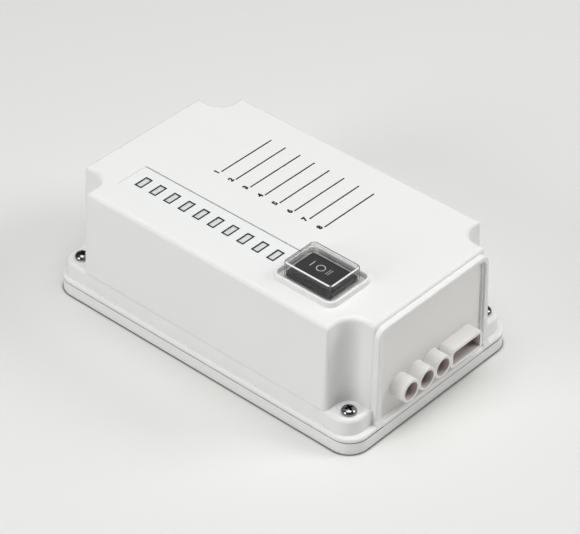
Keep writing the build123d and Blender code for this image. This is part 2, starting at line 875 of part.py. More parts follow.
# Indicator board
with BuildPart() as indicator_board:
    with BuildSketch(Plane.XY.offset(indicator_top_z)):
        with Locations((window_mid_x, window_y)):
            RectangleRounded(indicator_length, indicator_breadth, board_corner_radius)
        with Locations(*indicator_holes):
            Circle(board_screw_diameter / 2 + clearance, mode=Mode.SUBTRACT)
    extrude(amount=-board_thickness)

indicator_board.part.label = "indicator_board"
export_step(indicator_board.part, "parts/indicator_board.step")

# Indicator board screws, driven upwards into the posts of the cover
with BuildPart() as indicator_screws:
    pan_screws(
        indicator_screws, indicator_holes, indicator_top_z - board_thickness, -1, board_screw_diameter,
        board_screw_length, board_screw_head_diameter, board_screw_head_height, board_screw_crown,
        board_screw_recess_width, board_screw_recess_length, board_screw_recess_depth,
    )

indicator_screws.part.label = "indicator_screws"
export_step(indicator_screws.part, "parts/indicator_screws.step")

# One lamp under each window
with BuildPart() as indicator_leds:
    with BuildSketch(Plane.XY.offset(indicator_top_z)):
        with Locations(*window_places):
            Circle(led_diameter / 2)
    extrude(amount=led_height)
    fillet(indicator_leds.edges().group_by(Axis.Z)[-1], led_diameter / 2 - thread_clearance)
    with BuildSketch(Plane.XY.offset(indicator_top_z)):
        with Locations(*window_places):
            Circle(led_flange_diameter / 2)
    extrude(amount=led_flange_height)

indicator_leds.part.label = "indicator_leds"
export_step(indicator_leds.part, "parts/indicator_leds.step")

# Switch body with its bezel, an open well for the rocker and snap wedges under the roof
with BuildPart() as switch_body:
    with BuildSketch(Plane.XY.offset(bezel_z)):
        with Locations((switch_x, switch_y)):
            RectangleRounded(bezel_length, bezel_breadth, bezel_corner_radius)
    extrude(amount=bezel_thickness)
    fillet(switch_body.faces().sort_by(Axis.Z)[-1].edges(), bezel_edge_radius)
    with BuildSketch(Plane.XY.offset(bezel_z)):
        with Locations((switch_x, switch_y)):
            Rectangle(switch_body_length, switch_body_breadth)
    extrude(amount=switch_bottom_z - bezel_z)
    snap_x = switch_body_length / 2
    snap_z = roof_z - clearance
    with BuildSketch(Plane.XZ.offset(-switch_y)):
        for side in (-1, 1):
            with BuildLine():
                Polyline(
                    (switch_x + side * snap_x, snap_z),
                    (switch_x + side * (snap_x + switch_snap_reach), snap_z),
                    (switch_x + side * snap_x, snap_z - switch_snap_height),
                    close=True,
                )
            make_face()
    extrude(amount=switch_snap_width / 2, both=True)
    with BuildSketch(Plane.XY.offset(bezel_top_z)):
        with Locations((switch_x, switch_y)):
            Rectangle(switch_well_length, switch_well_breadth)
    extrude(amount=-switch_well_depth, mode=Mode.SUBTRACT)
    with BuildSketch(Plane.XZ.offset(-switch_y)):
        with Locations((switch_x, pivot_z)):
            Circle(trunnion_diameter / 2 + trunnion_clearance)
    extrude(amount=switch_well_breadth / 2 + trunnion_length, both=True, mode=Mode.SUBTRACT)

switch_body.part.label = "switch_body"
export_step(switch_body.part, "parts/switch_body.step")

# Rocker on its two trunnions
with BuildPart() as rocker:
    with BuildSketch(Plane.XZ.offset(-switch_y)):
        with BuildLine():
            Polyline(
                (switch_x + rocker_face_length / 2, top_z + rocker_crown),
                (switch_x + rocker_length / 2, top_z + rocker_shoulder),
                (switch_x + rocker_length / 2, pivot_z - rocker_skirt),
                (switch_x + rocker_belly_length / 2, pivot_z - rocker_belly),
                (switch_x - rocker_belly_length / 2, pivot_z - rocker_belly),
                (switch_x - rocker_length / 2, pivot_z - rocker_skirt),
                (switch_x - rocker_length / 2, top_z + rocker_shoulder),
                (switch_x - rocker_face_length / 2, top_z + rocker_crown),
            )
            ThreePointArc(
                (switch_x - rocker_face_length / 2, top_z + rocker_crown),
                (switch_x, top_z + rocker_crown - rocker_dish),
                (switch_x + rocker_face_length / 2, top_z + rocker_crown),
            )
        make_face()
    extrude(amount=rocker_breadth / 2, both=True)
    with BuildSketch(Plane.YZ.offset(switch_x)):
        with BuildLine():
            Polyline(
                (switch_y - rocker_breadth / 2, pivot_z - rocker_belly),
                (switch_y - rocker_breadth / 2, top_z + rocker_shoulder),
                (switch_y - rocker_face_breadth / 2, top_z + rocker_crown),
                (switch_y + rocker_face_breadth / 2, top_z + rocker_crown),
                (switch_y + rocker_breadth / 2, top_z + rocker_shoulder),
                (switch_y + rocker_breadth / 2, pivot_z - rocker_belly),
                close=True,
            )
        make_face()
    extrude(amount=rocker_length, both=True, mode=Mode.INTERSECT)
    with BuildSketch(Plane.XZ.offset(-switch_y)):
        with Locations((switch_x, pivot_z)):
            Circle(trunnion_diameter / 2)
    extrude(amount=rocker_breadth / 2 + trunnion_length - clearance, both=True)

rocker.part.label = "rocker"
export_step(rocker.part, "parts/rocker.step")

# Blade terminals under the switch
with BuildPart() as switch_terminals:
    with BuildSketch(Plane.XY.offset(switch_bottom_z)):
        with Locations(*terminal_places):
            Rectangle(terminal_width, terminal_thickness)
    extrude(amount=-terminal_length)
    with BuildSketch(Plane.XZ.offset(-switch_y)):
        with Locations(
            *[
                (switch_x + (i - (terminal_columns - 1) / 2) * terminal_pitch_x,
                 switch_bottom_z - terminal_length + terminal_width / 2)
                for i in range(terminal_columns)
            ]
        ):
            Circle(terminal_hole / 2)
    extrude(amount=terminal_pitch_y, both=True, mode=Mode.SUBTRACT)

switch_terminals.part.label = "switch_terminals"
export_step(switch_terminals.part, "parts/switch_terminals.step")

# Clear hood: a thin box on a sheet that the bezel clamps to the roof
with BuildPart() as clear_hood:
    with BuildSketch(Plane.XY.offset(top_z)):
        with Locations((switch_x, switch_y)):
            RectangleRounded(hood_length, hood_breadth, hood_corner_radius)
    extrude(amount=hood_height)
    fillet(clear_hood.faces().sort_by(Axis.Z)[-1].edges(), hood_top_radius)
    with BuildSketch(Plane.XY.offset(top_z)):
        with Locations((switch_x, switch_y)):
            RectangleRounded(
                rim_inner_length - 2 * clearance, rim_inner_breadth - 2 * clearance, rim_inner_radius
            )
    extrude(amount=hood_flange_thickness)
    with BuildSketch(Plane.XY.offset(bezel_z)):
        with Locations((switch_x, switch_y)):
            RectangleRounded(
                hood_length - 2 * hood_wall, hood_breadth - 2 * hood_wall, hood_corner_radius - hood_wall
            )
    extrude(amount=hood_height - hood_flange_thickness - hood_wall, mode=Mode.SUBTRACT)
    with BuildSketch(Plane.XY.offset(top_z)):
        with Locations((switch_x, switch_y)):
            Rectangle(opening_length, opening_breadth)
    extrude(amount=hood_flange_thickness, mode=Mode.SUBTRACT)

clear_hood.part.label = "clear_hood"
export_step(clear_hood.part, "parts/clear_hood.step")

# Main board
with BuildPart() as main_board:
    with BuildSketch(Plane.XY.offset(board_z)):
        with BuildLine():
            Polyline(
                (board_left, board_front),
                (board_right, board_front),
                (board_right, board_back),
                (board_step_x, board_back),
                (board_step_x, board_mid_y),
                (board_left, board_mid_y),
                close=True,
            )
        board_face = make_face()
        fillet(board_face.vertices(), board_corner_radius)
        with Locations(*board_holes):
            Circle(board_screw_diameter / 2 + clearance, mode=Mode.SUBTRACT)
    extrude(amount=board_thickness)

main_board.part.label = "main_board"
export_step(main_board.part, "parts/main_board.step")

# Main board screws
with BuildPart() as main_board_screws:
    pan_screws(
        main_board_screws, board_holes, board_top_z, 1, board_screw_diameter, board_screw_length,
        board_screw_head_diameter, board_screw_head_height, board_screw_crown,
        board_screw_recess_width, board_screw_recess_length, board_screw_recess_depth,
    )

main_board_screws.part.label = "main_board_screws"
export_step(main_board_screws.part, "parts/main_board_screws.step")

# Potted transformer with a wider skirt at its foot
with BuildPart() as transformer:
    with BuildSketch(Plane.XY.offset(board_top_z)):
        with Locations((transformer_x, front_row_y)):
            RectangleRounded(
                transformer_length - 2 * transformer_flange_step,
                transformer_width - 2 * transformer_flange_step,
                transformer_edge,
            )
    extrude(amount=transformer_height)
    chamfer(transformer.faces().sort_by(Axis.Z)[-1].edges(), transformer_edge / 2)
    with BuildSketch(Plane.XY.offset(board_top_z)):
        with Locations((transformer_x, front_row_y)):
            RectangleRounded(transformer_length, transformer_width, transformer_edge)
    extrude(amount=transformer_flange_height)

transformer.part.label = "transformer"
export_step(transformer.part, "parts/transformer.step")

# Smoothing capacitors, with the rolled groove near the foot
with BuildPart() as capacitors:
    with BuildSketch(Plane.XY.offset(board_top_z)):
        with Locations(*capacitor_places):
            Circle(capacitor_diameter / 2)
    extrude(amount=capacitor_height)
    fillet(capacitors.edges().group_by(Axis.Z)[-1], capacitor_edge_radius)
    with BuildSketch(Plane.XY.offset(board_top_z + capacitor_groove_height)):
        with Locations(*capacitor_places):
            Circle(capacitor_diameter / 2)
            Circle(capacitor_diameter / 2 - capacitor_groove, mode=Mode.SUBTRACT)
    extrude(amount=2 * capacitor_groove, mode=Mode.SUBTRACT)

capacitors.part.label = "capacitors"
export_step(capacitors.part, "parts/capacitors.step")

# Bridge rectifier on its four leads
with BuildPart() as bridge_rectifier:
    with BuildSketch(Plane.XY.offset(board_top_z + rectifier_lead)):
        with Locations((rectifier_x, front_row_y)):
            Rectangle(rectifier_length, rectifier_width)
    extrude(amount=rectifier_height)
    chamfer(bridge_rectifier.faces().sort_by(Axis.Z)[-1].edges(), chip_bevel)
    with BuildSketch(Plane.XY.offset(board_top_z)):
        with Locations((rectifier_x, front_row_y)):
            with GridLocations(0, rectifier_width / rectifier_leads, 1, rectifier_leads):
                Rectangle(rectifier_lead_thickness, rectifier_lead_thickness)
    extrude(amount=rectifier_lead)

bridge_rectifier.part.label = "bridge_rectifier"
export_step(bridge_rectifier.part, "parts/bridge_rectifier.step")

# Heat sink: an upright web with fins on its far side
with BuildPart() as heat_sink:
    with BuildSketch(Plane.XY.offset(board_top_z)):
        with Locations((sink_left + sink_web / 2, front_row_y)):
            Rectangle(sink_web, sink_length)
        with Locations((sink_left + sink_width / 2, front_row_y)):
            with GridLocations(0, (sink_length - sink_fin) / (sink_fin_count - 1), 1, sink_fin_count):
                Rectangle(sink_width, sink_fin)
    extrude(amount=sink_height)

heat_sink.part.label = "heat_sink"
export_step(heat_sink.part, "parts/heat_sink.step")

# Regulator, flat on the web of the heat sink
with BuildPart() as regulator:
    with BuildSketch(Plane.XY.offset(board_top_z + regulator_lead)):
        with Locations((sink_left - regulator_thickness / 2, front_row_y)):
            Rectangle(regulator_thickness, regulator_width)
    extrude(amount=regulator_height)
    with BuildSketch(Plane.XY.offset(board_top_z)):
        with Locations((sink_left - regulator_thickness / 2, front_row_y)):
            with GridLocations(0, regulator_lead_pitch, 1, regulator_leads):
                Rectangle(regulator_lead_thickness, regulator_lead_width)
    extrude(amount=regulator_lead)

regulator.part.label = "regulator"
export_step(regulator.part, "parts/regulator.step")

# Relays
with BuildPart() as relays:
    with BuildSketch(Plane.XY.offset(board_top_z)):
        with Locations(*relay_places):
            RectangleRounded(relay_length, relay_width, relay_edge)
    extrude(amount=relay_height)
    chamfer(relays.edges().group_by(Axis.Z)[-1], relay_edge / 2)

relays.part.label = "relays"
export_step(relays.part, "parts/relays.step")

# Fuse
with BuildPart() as fuse:
    with BuildSketch(Plane.XZ.offset(-fuse_y)):
        with Locations((fuse_x, fuse_z)):
            Circle(fuse_glass_diameter / 2)
    extrude(amount=fuse_length / 2, both=True)
    for side in (-1, 1):
        with BuildSketch(Plane.XZ.offset(-fuse_y + side * (fuse_length - fuse_cap_length) / 2)):
            with Locations((fuse_x, fuse_z)):
                Circle(fuse_diameter / 2)
        extrude(amount=fuse_cap_length / 2, both=True)

fuse.part.label = "fuse"
export_step(fuse.part, "parts/fuse.step")

# Fuse clips, open at the top
with BuildPart() as fuse_clips:
    with BuildSketch(Plane.XY.offset(board_top_z)):
        with Locations((fuse_x, fuse_y)):
            with GridLocations(0, fuse_length - fuse_cap_length, 1, 2):
                Rectangle(fuse_diameter + 2 * clip_thickness, clip_length)
    extrude(amount=fuse_lift + fuse_diameter / 4)
    with BuildSketch(Plane.XZ.offset(-fuse_y)):
        with Locations((fuse_x, fuse_z)):
            Circle(fuse_diameter / 2)
    extrude(amount=fuse_length, both=True, mode=Mode.SUBTRACT)

fuse_clips.part.label = "fuse_clips"
export_step(fuse_clips.part, "parts/fuse_clips.step")


# Places of the poles of a terminal block that starts at a given Y
def poles(first_y, count):
    return [(block_x, first_y + (i + 1 / 2) * pole_pitch) for i in range(count)]


# Body of a terminal block: wells for its screws on top, wire entries in its outer side
def terminal_block(block, first_y, count):
    places = poles(first_y, count)
    with BuildSketch(Plane.XY.offset(board_top_z)) as outline:
        with Locations((block_x, first_y + count * pole_pitch / 2)):
            Rectangle(block_depth, count * pole_pitch)
    extrude(outline.sketch, amount=block_height)
    chamfer(block.edges().group_by(Axis.Z)[-1].filter_by(Axis.Y).sort_by(Axis.X)[-1], block_bevel)
    with BuildSketch(Plane.XY.offset(block_top_z)) as wells:
        with Locations(*places):
            Circle(block_well_diameter / 2)
    extrude(wells.sketch, amount=-block_well_depth, mode=Mode.SUBTRACT)
    with BuildSketch(Plane.YZ.offset(block_front_x)) as entries:
        with Locations(*[(y, board_top_z + block_entry_lift + block_entry / 2) for x, y in places]):
            Rectangle(block_entry, block_entry)
    extrude(entries.sketch, amount=-block_entry_depth, mode=Mode.SUBTRACT)


# Terminal block for the mains
with BuildPart() as mains_block:
    terminal_block(mains_block, mains_y, mains_poles)

mains_block.part.label = "mains_block"
export_step(mains_block.part, "parts/mains_block.step")

# Terminal block for the valve and the alarm contacts
with BuildPart() as valve_block:
    terminal_block(valve_block, valve_y, valve_poles)

valve_block.part.label = "valve_block"
export_step(valve_block.part, "parts/valve_block.step")

# Terminal block for the sensors
with BuildPart() as sensor_block:
    terminal_block(sensor_block, sensor_y, sensor_poles)

sensor_block.part.label = "sensor_block"
export_step(sensor_block.part, "parts/sensor_block.step")

# Slotted clamp screws at the foot of the wells
with BuildPart() as clamp_screws:
    screw_heads = poles(mains_y, mains_poles) + poles(valve_y, valve_poles) + poles(sensor_y, sensor_poles)
    with BuildSketch(Plane.XY.offset(block_top_z - block_well_depth)):
        with Locations(*screw_heads):
            Circle(clamp_screw_diameter / 2)
    extrude(amount=clamp_screw_height)
    with BuildSketch(Plane.XY.offset(block_top_z - block_well_depth + clamp_screw_height)):
        with Locations(*screw_heads):
            Rectangle(clamp_screw_diameter, clamp_screw_slot)
    extrude(amount=-clamp_screw_slot_depth, mode=Mode.SUBTRACT)

clamp_screws.part.label = "clamp_screws"
export_step(clamp_screws.part, "parts/clamp_screws.step")

# Microcontroller
with BuildPart() as microcontroller:
    with BuildSketch(Plane.XY.offset(board_top_z)):
        with Locations((chip_x, chip_y)):
            Rectangle(chip_size, chip_size)
    extrude(amount=chip_height)
    chamfer(microcontroller.faces().sort_by(Axis.Z)[-1].edges(), chip_bevel)

microcontroller.part.label = "microcontroller"
export_step(microcontroller.part, "parts/microcontroller.step")

# Buzzer with its sound hole
with BuildPart() as buzzer:
    with BuildSketch(Plane.XY.offset(board_top_z)):
        with Locations((buzzer_x, buzzer_y)):
            Circle(buzzer_diameter / 2)
    extrude(amount=buzzer_height)
    chamfer(buzzer.edges().group_by(Axis.Z)[-1], chip_bevel)
    with BuildSketch(Plane.XY.offset(board_top_z + buzzer_height)):
        with Locations((buzzer_x, buzzer_y)):
            Circle(buzzer_hole / 2)
    extrude(amount=-buzzer_hole_depth, mode=Mode.SUBTRACT)

buzzer.part.label = "buzzer"
export_step(buzzer.part, "parts/buzzer.step")

# Ribbon headers: one up from the main board, one down from the indicator board
with BuildPart() as ribbon_headers:
    for x, z, rise in (
        (header_x, board_top_z, 1),
        (upper_header_x, indicator_top_z - board_thickness, -1),
    ):
        with BuildSketch(Plane.XY.offset(z)):
            with Locations((x, window_y)):
                Rectangle(header_width, header_length)
        extrude(amount=rise * header_height)

ribbon_headers.part.label = "ribbon_headers"
export_step(ribbon_headers.part, "parts/ribbon_headers.step")

# Ribbon cable between the two headers
with BuildPart() as ribbon_cable:
    lower_z = board_top_z + header_height
    upper_z = indicator_top_z - board_thickness - header_height
    with BuildSketch(Plane.XZ.offset(-window_y)):
        with BuildLine() as ribbon_route:
            Line((header_x, lower_z), (header_x, lower_z + ribbon_rise))
            Spline(
                (header_x, lower_z + ribbon_rise),
                (upper_header_x, upper_z),
                tangents=((0, 1), (0, 1)),
            )
        trace(ribbon_route.edges(), ribbon_thickness)
    extrude(amount=ribbon_width / 2, both=True)

ribbon_cable.part.label = "ribbon_cable"
export_step(ribbon_cable.part, "parts/ribbon_cable.step")

# Backup battery
with BuildPart() as battery:
    with BuildSketch(Plane.XY.offset(floor_thickness)):
        with Locations((battery_x, battery_y)):
            RectangleRounded(battery_length, battery_width, battery_edge_radius)
    extrude(amount=battery_height)
    fillet(battery.faces().sort_by(Axis.Z)[-1].edges(), battery_edge_radius)

battery.part.label = "battery"
export_step(battery.part, "parts/battery.step")

# Battery tabs
with BuildPart() as battery_tabs:
    with BuildSketch(Plane.XY.offset(battery_top_z)):
        with Locations(*tab_places):
            Rectangle(tab_width, tab_thickness)
    extrude(amount=tab_height)

battery_tabs.part.label = "battery_tabs"
export_step(battery_tabs.part, "parts/battery_tabs.step")

# Strap over the battery, with a foot at each end
with BuildPart() as battery_strap:
    with BuildSketch(Plane.XZ.offset(-battery_y)):
        with BuildLine():
            Polyline(
                (strap_left - strap_thickness, strap_foot_z),
                (strap_left - strap_thickness, battery_top_z + strap_thickness),
                (strap_right + strap_thickness, battery_top_z + strap_thickness),
                (strap_right + strap_thickness, strap_foot_z),
                (strap_right, strap_foot_z),
                (strap_right, battery_top_z),
                (strap_left, battery_top_z),
                (strap_left, strap_foot_z),
                close=True,
            )
        strap_face = make_face()
        strap_corners = strap_face.vertices().group_by(Axis.Y)
        fillet(strap_corners[-1], strap_bend_radius)
        fillet(strap_corners[-2], strap_bend_radius - strap_thickness)
        with Locations(
            *[(x, strap_foot_z + strap_thickness / 2) for x, y in strap_screw_places]
        ):
            Rectangle(strap_foot, strap_thickness)
    extrude(amount=strap_width / 2, both=True)
    with BuildSketch(Plane.XY.offset(strap_foot_z)):
        with Locations(*strap_screw_places):
            Circle(board_screw_diameter / 2 + clearance)
    extrude(amount=strap_thickness, mode=Mode.SUBTRACT)

battery_strap.part.label = "battery_strap"
export_step(battery_strap.part, "parts/battery_strap.step")

# Strap screws
with BuildPart() as strap_screws:
    pan_screws(
        strap_screws, strap_screw_places, strap_foot_z + strap_thickness, 1, board_screw_diameter,
        board_screw_length, board_screw_head_diameter, board_screw_head_height, board_screw_crown,
        board_screw_recess_width, board_screw_recess_length, board_screw_recess_depth,
    )

strap_screws.part.label = "strap_screws"
export_step(strap_screws.part, "parts/strap_screws.step")

# Plugs of the battery leads and of the switch leads
with BuildPart() as lead_plugs:
    with BuildSketch(Plane.XY.offset(board_top_z)):
        with Locations((battery_plug_x, battery_plug_y)):
            Rectangle(plug_length, plug_width)
        with Locations((fuse_x, switch_plug_y)):
            Rectangle(plug_width, plug_length)
    extrude(amount=plug_height)

lead_plugs.part.label = "lead_plugs"
export_step(lead_plugs.part, "parts/lead_plugs.step")


# A round lead along a bent path
def lead(points):
    with BuildLine() as route:
        FilletPolyline(*points, radius=lead_bend_radius)
    with BuildSketch(Plane(origin=route.line @ 0, z_dir=route.line % 0)) as section:
        Circle(lead_diameter / 2)
    sweep(section.sketch, path=route.line)


# Battery leads: one straight up to the near tab, one along the front of the battery to the far tab
with BuildPart() as battery_leads:
    near_x = battery_plug_x + lead_pitch / 2
    far_x = battery_plug_x - lead_pitch / 2
    run_y = battery_front - lead_front_gap - lead_diameter / 2
    run_z = battery_top_z - lead_run_drop
    end_y = tab_places[0][1] - tab_thickness / 2
    lead([
        (near_x, battery_plug_y, plug_top_z),
        (near_x, battery_plug_y, tab_z),
        (near_x, end_y, tab_z),
    ])
    lead([
        (far_x, battery_plug_y, plug_top_z),
        (far_x, battery_plug_y, run_z),
        (far_x, run_y, run_z),
        (tab_places[0][0], run_y, run_z),
        (tab_places[0][0], run_y, tab_z),
        (tab_places[0][0], end_y, tab_z),
    ])

battery_leads.part.label = "battery_leads"
export_step(battery_leads.part, "parts/battery_leads.step")

# Switch leads: from the rear row of blades over the relays to their plug
with BuildPart() as switch_leads:
    blade_y = terminal_places[-1][1]
    for i in range(terminal_columns):
        blade_x = terminal_places[(terminal_columns - 1 - i) * terminal_rows][0]
        pin_y = switch_plug_y + (i - (terminal_columns - 1) / 2) * lead_pitch
        lead([
            (blade_x, blade_y, blade_z),
            (blade_x, blade_y, blade_z - lead_drop),
            (blade_x, pin_y, blade_z - lead_drop),
            (fuse_x, pin_y, blade_z - lead_drop),
            (fuse_x, pin_y, plug_top_z),
        ])

switch_leads.part.label = "switch_leads"
export_step(switch_leads.part, "parts/switch_leads.step")
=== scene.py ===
"""Leak detection controller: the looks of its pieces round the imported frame."""

import math

import bmesh
import bpy
from mathutils import Matrix, Quaternion, Vector


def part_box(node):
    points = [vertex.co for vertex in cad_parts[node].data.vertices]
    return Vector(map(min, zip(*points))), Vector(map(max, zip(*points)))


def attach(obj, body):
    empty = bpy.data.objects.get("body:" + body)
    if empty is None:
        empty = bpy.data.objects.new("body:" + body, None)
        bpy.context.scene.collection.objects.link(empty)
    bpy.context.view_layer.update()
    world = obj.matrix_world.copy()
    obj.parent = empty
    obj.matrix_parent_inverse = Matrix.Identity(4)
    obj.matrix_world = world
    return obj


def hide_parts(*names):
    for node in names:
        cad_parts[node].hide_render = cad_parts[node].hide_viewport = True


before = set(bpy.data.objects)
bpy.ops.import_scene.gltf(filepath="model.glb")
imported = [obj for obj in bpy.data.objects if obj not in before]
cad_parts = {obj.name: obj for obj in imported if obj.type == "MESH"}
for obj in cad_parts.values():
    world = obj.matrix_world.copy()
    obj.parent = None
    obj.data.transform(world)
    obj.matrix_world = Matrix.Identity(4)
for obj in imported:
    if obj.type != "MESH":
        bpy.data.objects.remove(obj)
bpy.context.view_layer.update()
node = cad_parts
scene = bpy.context.scene
mm = 0.001

# Camera: a long lens that looks down at the corner between the long front and the cable end, so
# that both show. Its angles and distance come from the case's own edges in the photograph.
camera_target = Vector((7.85, -2.45, 35.0)) * mm
camera_azimuth, camera_elevation, camera_roll = (math.radians(a) for a in (40.69, 37.59, 1.24))
camera_distance = 1358.36 * mm
camera_back = Vector((
    math.sin(camera_azimuth) * math.cos(camera_elevation),
    -math.cos(camera_azimuth) * math.cos(camera_elevation),
    math.sin(camera_elevation),
))
camera = bpy.data.objects.new("camera", bpy.data.cameras.new("camera"))
scene.collection.objects.link(camera)
camera.data.sensor_width = 36.0
camera.data.lens = 169.44
camera.data.clip_start, camera.data.clip_end = 0.05, 20.0
camera.location = camera_target + camera_back * camera_distance
camera.rotation_mode = "QUATERNION"
camera.rotation_quaternion = (
    (-camera_back).to_track_quat("-Z", "Y") @ Quaternion((0, 0, 1), camera_roll)
)
scene.camera = camera
scene.view_settings.view_transform = "Standard"


# Studio floor: a matt pale table top under everything, with a soft shadow close to the case and a
# painted dark line of contact shade where the case stands on it. Further off the camera sees an
# even pale backdrop instead.
def linear(hex_colour):
    """An sRGB hex colour in the linear values that sockets take."""
    parts = [int(hex_colour[i:i + 2], 16) / 255 for i in (0, 2, 4)]
    return (*[c / 12.92 if c <= 0.04045 else ((c + 0.055) / 1.055) ** 2.4 for c in parts], 1.0)


def add(tree, kind, settings=None, *feeds, **links):
    """A new node. Feeds are sockets or values for its inputs in order, links go in by name."""
    made = tree.nodes.new(kind)
    for name, value in (settings or {}).items():
        if hasattr(made, name):
            setattr(made, name, value)
        else:
            made.inputs[name].default_value = value
    for place, source in zip(made.inputs, feeds):
        if isinstance(source, bpy.types.NodeSocket):
            tree.links.new(source, place)
        else:
            place.default_value = source
    for name, source in links.items():
        tree.links.new(source, made.inputs[name.replace("_", " ")])
    return made


def new_material(name):
    made = bpy.data.materials.new(name)
    made.use_nodes = True
    made.node_tree.nodes.clear()
    return made, made.node_tree


def dress(piece, finish):
    piece.data.materials.clear()
    piece.data.materials.append(finish)


def add_piece(name, mesh, finish, body="case"):
    """An object for the mesh, in its finish, that rides on the body if there is one."""
    piece = bpy.data.objects.new(name, mesh)
    scene.collection.objects.link(piece)
    dress(piece, finish)
    if body:
        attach(piece, body)
    return piece


def shaped_piece(name, shape, finish, body="case"):
    """A piece from a bmesh, which is used up."""
    mesh = bpy.data.meshes.new(name)
    shape.to_mesh(mesh)
    shape.free()
    return add_piece(name, mesh, finish, body)


backdrop_tone = "E0E0DE"
backdrop_from, backdrop_full = 0.4, 1.3
floor_size, floor_drop, contact_reach = 6.0, 0.04 * mm, 1.8 * mm

floor_finish, tree = new_material("matt table top, painted contact shade")
# Painted contact shade: an occlusion test darkens the floor's colour close to the case, as a dark
# line where it stands.
contact = add(tree, "ShaderNodeAmbientOcclusion", {"samples": 12, "Distance": contact_reach})
painted_contact_shade = add(tree, "ShaderNodeValToRGB", Fac=contact.outputs["AO"])
painted_contact_shade.color_ramp.elements[0].color = linear("6E6C6A")
painted_contact_shade.color_ramp.elements[0].position = 0.5
painted_contact_shade.color_ramp.elements[1].color = linear("E3E3E1")
painted_contact_shade.color_ramp.elements[1].position = 0.9
surface = add(tree, "ShaderNodeBsdfPrincipled", {"Roughness": 0.9, "Specular IOR Level": 0.2},
              Base_Color=painted_contact_shade.outputs["Color"])
place = add(tree, "ShaderNodeTexCoord")
distance = add(tree, "ShaderNodeVectorMath", {"operation": "LENGTH"}, place.outputs["Object"])
far = add(tree, "ShaderNodeMapRange", {"From Min": backdrop_from, "From Max": backdrop_full},
          Value=distance.outputs["Value"])
ray = add(tree, "ShaderNodeLightPath")
seen = add(tree, "ShaderNodeMath", {"operation": "MULTIPLY"},
           far.outputs[0], ray.outputs["Is Camera Ray"])
backdrop = add(tree, "ShaderNodeEmission", {"Color": linear(backdrop_tone), "Strength": 1.0})
mixed = add(tree, "ShaderNodeMixShader", None,
            seen.outputs[0], surface.outputs[0], backdrop.outputs[0])
add(tree, "ShaderNodeOutputMaterial", Surface=mixed.outputs[0])
shape = bmesh.new()
bmesh.ops.create_grid(shape, x_segments=1, y_segments=1, size=floor_size)
bmesh.ops.translate(shape, verts=shape.verts, vec=(0, 0, -floor_drop))
floor = shaped_piece("floor", shape, floor_finish, None)

# Studio light: one large soft box overhead, a weaker one low at the front and one behind the cable
# end. The dim surround keeps the notches in shade and leaves dark gaps for the metal to show. Only
# the camera sees the pale backdrop in its place.
world = bpy.data.worlds.new("dim surround")
scene.world = world
world.use_nodes = True
tree = world.node_tree
tree.nodes.clear()
surround = add(tree, "ShaderNodeBackground", {"Color": linear("F4F4F3"), "Strength": 0.1})
backdrop = add(tree, "ShaderNodeBackground", {"Color": linear(backdrop_tone), "Strength": 1.0})
ray = add(tree, "ShaderNodeLightPath")
mixed = add(tree, "ShaderNodeMixShader", None,
            ray.outputs["Is Camera Ray"], surround.outputs[0], backdrop.outputs[0])
add(tree, "ShaderNodeOutputWorld", Surface=mixed.outputs[0])
lamp_aim = Vector((0, 0, 0.03))
for lamp_name, lamp_place, lamp_size, lamp_watts in (
    ("overhead soft box", (0.03, -0.05, 1.5), 1.15, 16.4),
    ("front soft box", (-0.38, -1.52, 0.66), 0.7, 10.4),
    ("rear soft box", (1.1, 1.1, 1.1), 0.8, 13.4),
):
    lamp = bpy.data.objects.new(lamp_name, bpy.data.lights.new(lamp_name, "AREA"))
    lamp.data.size, lamp.data.energy = lamp_size, lamp_watts
    lamp.location = lamp_place
    lamp.rotation_mode = "QUATERNION"
    lamp.rotation_quaternion = (lamp_aim - Vector(lamp_place)).to_track_quat("-Z", "Y")
    scene.collection.objects.link(lamp)


# Cover and base: injection moulded ABS, white, with a fine spark-eroded grain that gives a soft
# sheen. The same plastic and the same grain are used for both halves of the case.
def moulded(name, hex_colour, roughness, grain_mm=0.35, grain_depth=0.02, drift=0.03, ior=1.53,
            shade_painter=None):
    """Moulded plastic: a fine grain, and a colour that drifts a little darker in clouds."""
    cloud_mm, polish_drift = 45.0, 0.04
    made, tree = new_material(name)
    place = add(tree, "ShaderNodeTexCoord")
    grain = add(tree, "ShaderNodeTexNoise", {"Scale": 1 / (grain_mm * mm), "Detail": 2.0},
                Vector=place.outputs["Object"])
    cloud = add(tree, "ShaderNodeTexNoise", {"Scale": 1 / (cloud_mm * mm), "Detail": 1.0},
                Vector=place.outputs["Object"])
    base = linear(hex_colour)
    tint = add(tree, "ShaderNodeValToRGB", Fac=cloud.outputs["Fac"])
    tint.color_ramp.elements[0].color = (*[c * (1 - drift) for c in base[:3]], 1)
    tint.color_ramp.elements[1].color = base
    colour = shade_painter(tree, place, tint) if shade_painter else tint.outputs["Color"]
    polish = add(tree, "ShaderNodeMapRange",
                 {"To Min": roughness - polish_drift, "To Max": roughness + polish_drift},
                 Value=grain.outputs["Fac"])
    relief = add(tree, "ShaderNodeBump", {"Strength": 0.35, "Distance": grain_depth * mm},
                 Height=grain.outputs["Fac"])
    surface = add(tree, "ShaderNodeBsdfPrincipled", {"IOR": ior}, Base_Color=colour,
                  Roughness=polish.outputs[0], Normal=relief.outputs["Normal"])
    add(tree, "ShaderNodeOutputMaterial", Surface=surface.outputs[0])
    return made


abs_white = moulded("white ABS, fine grain", "EDEDEC", 0.48)
dress(node["cover"], abs_white)
dress(node["base"], abs_white)

# Cable entry panel: the same kind of ABS from another mould, a shade warmer and smoother, with
# three round sleeves and a flat one for the cables. The walls of their openings carry painted
# shade in grey brown, which deepens from the mouth inwards.
mouth_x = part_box("end_panel")[1][0] / mm
entry_z, entry_edge = 23.2, 0.004
bore_places, bore_half = (-24.2, -12.1, 0.0), 4.82
port_y, port_half_length, port_half_height = 18.2, 10.56, 3.96
# Painted shade in the sleeves: part of it at the mouth, growing to full a few millimetres in.
painted_shade_depth, mouth_shade_share = 3.6, 0.35


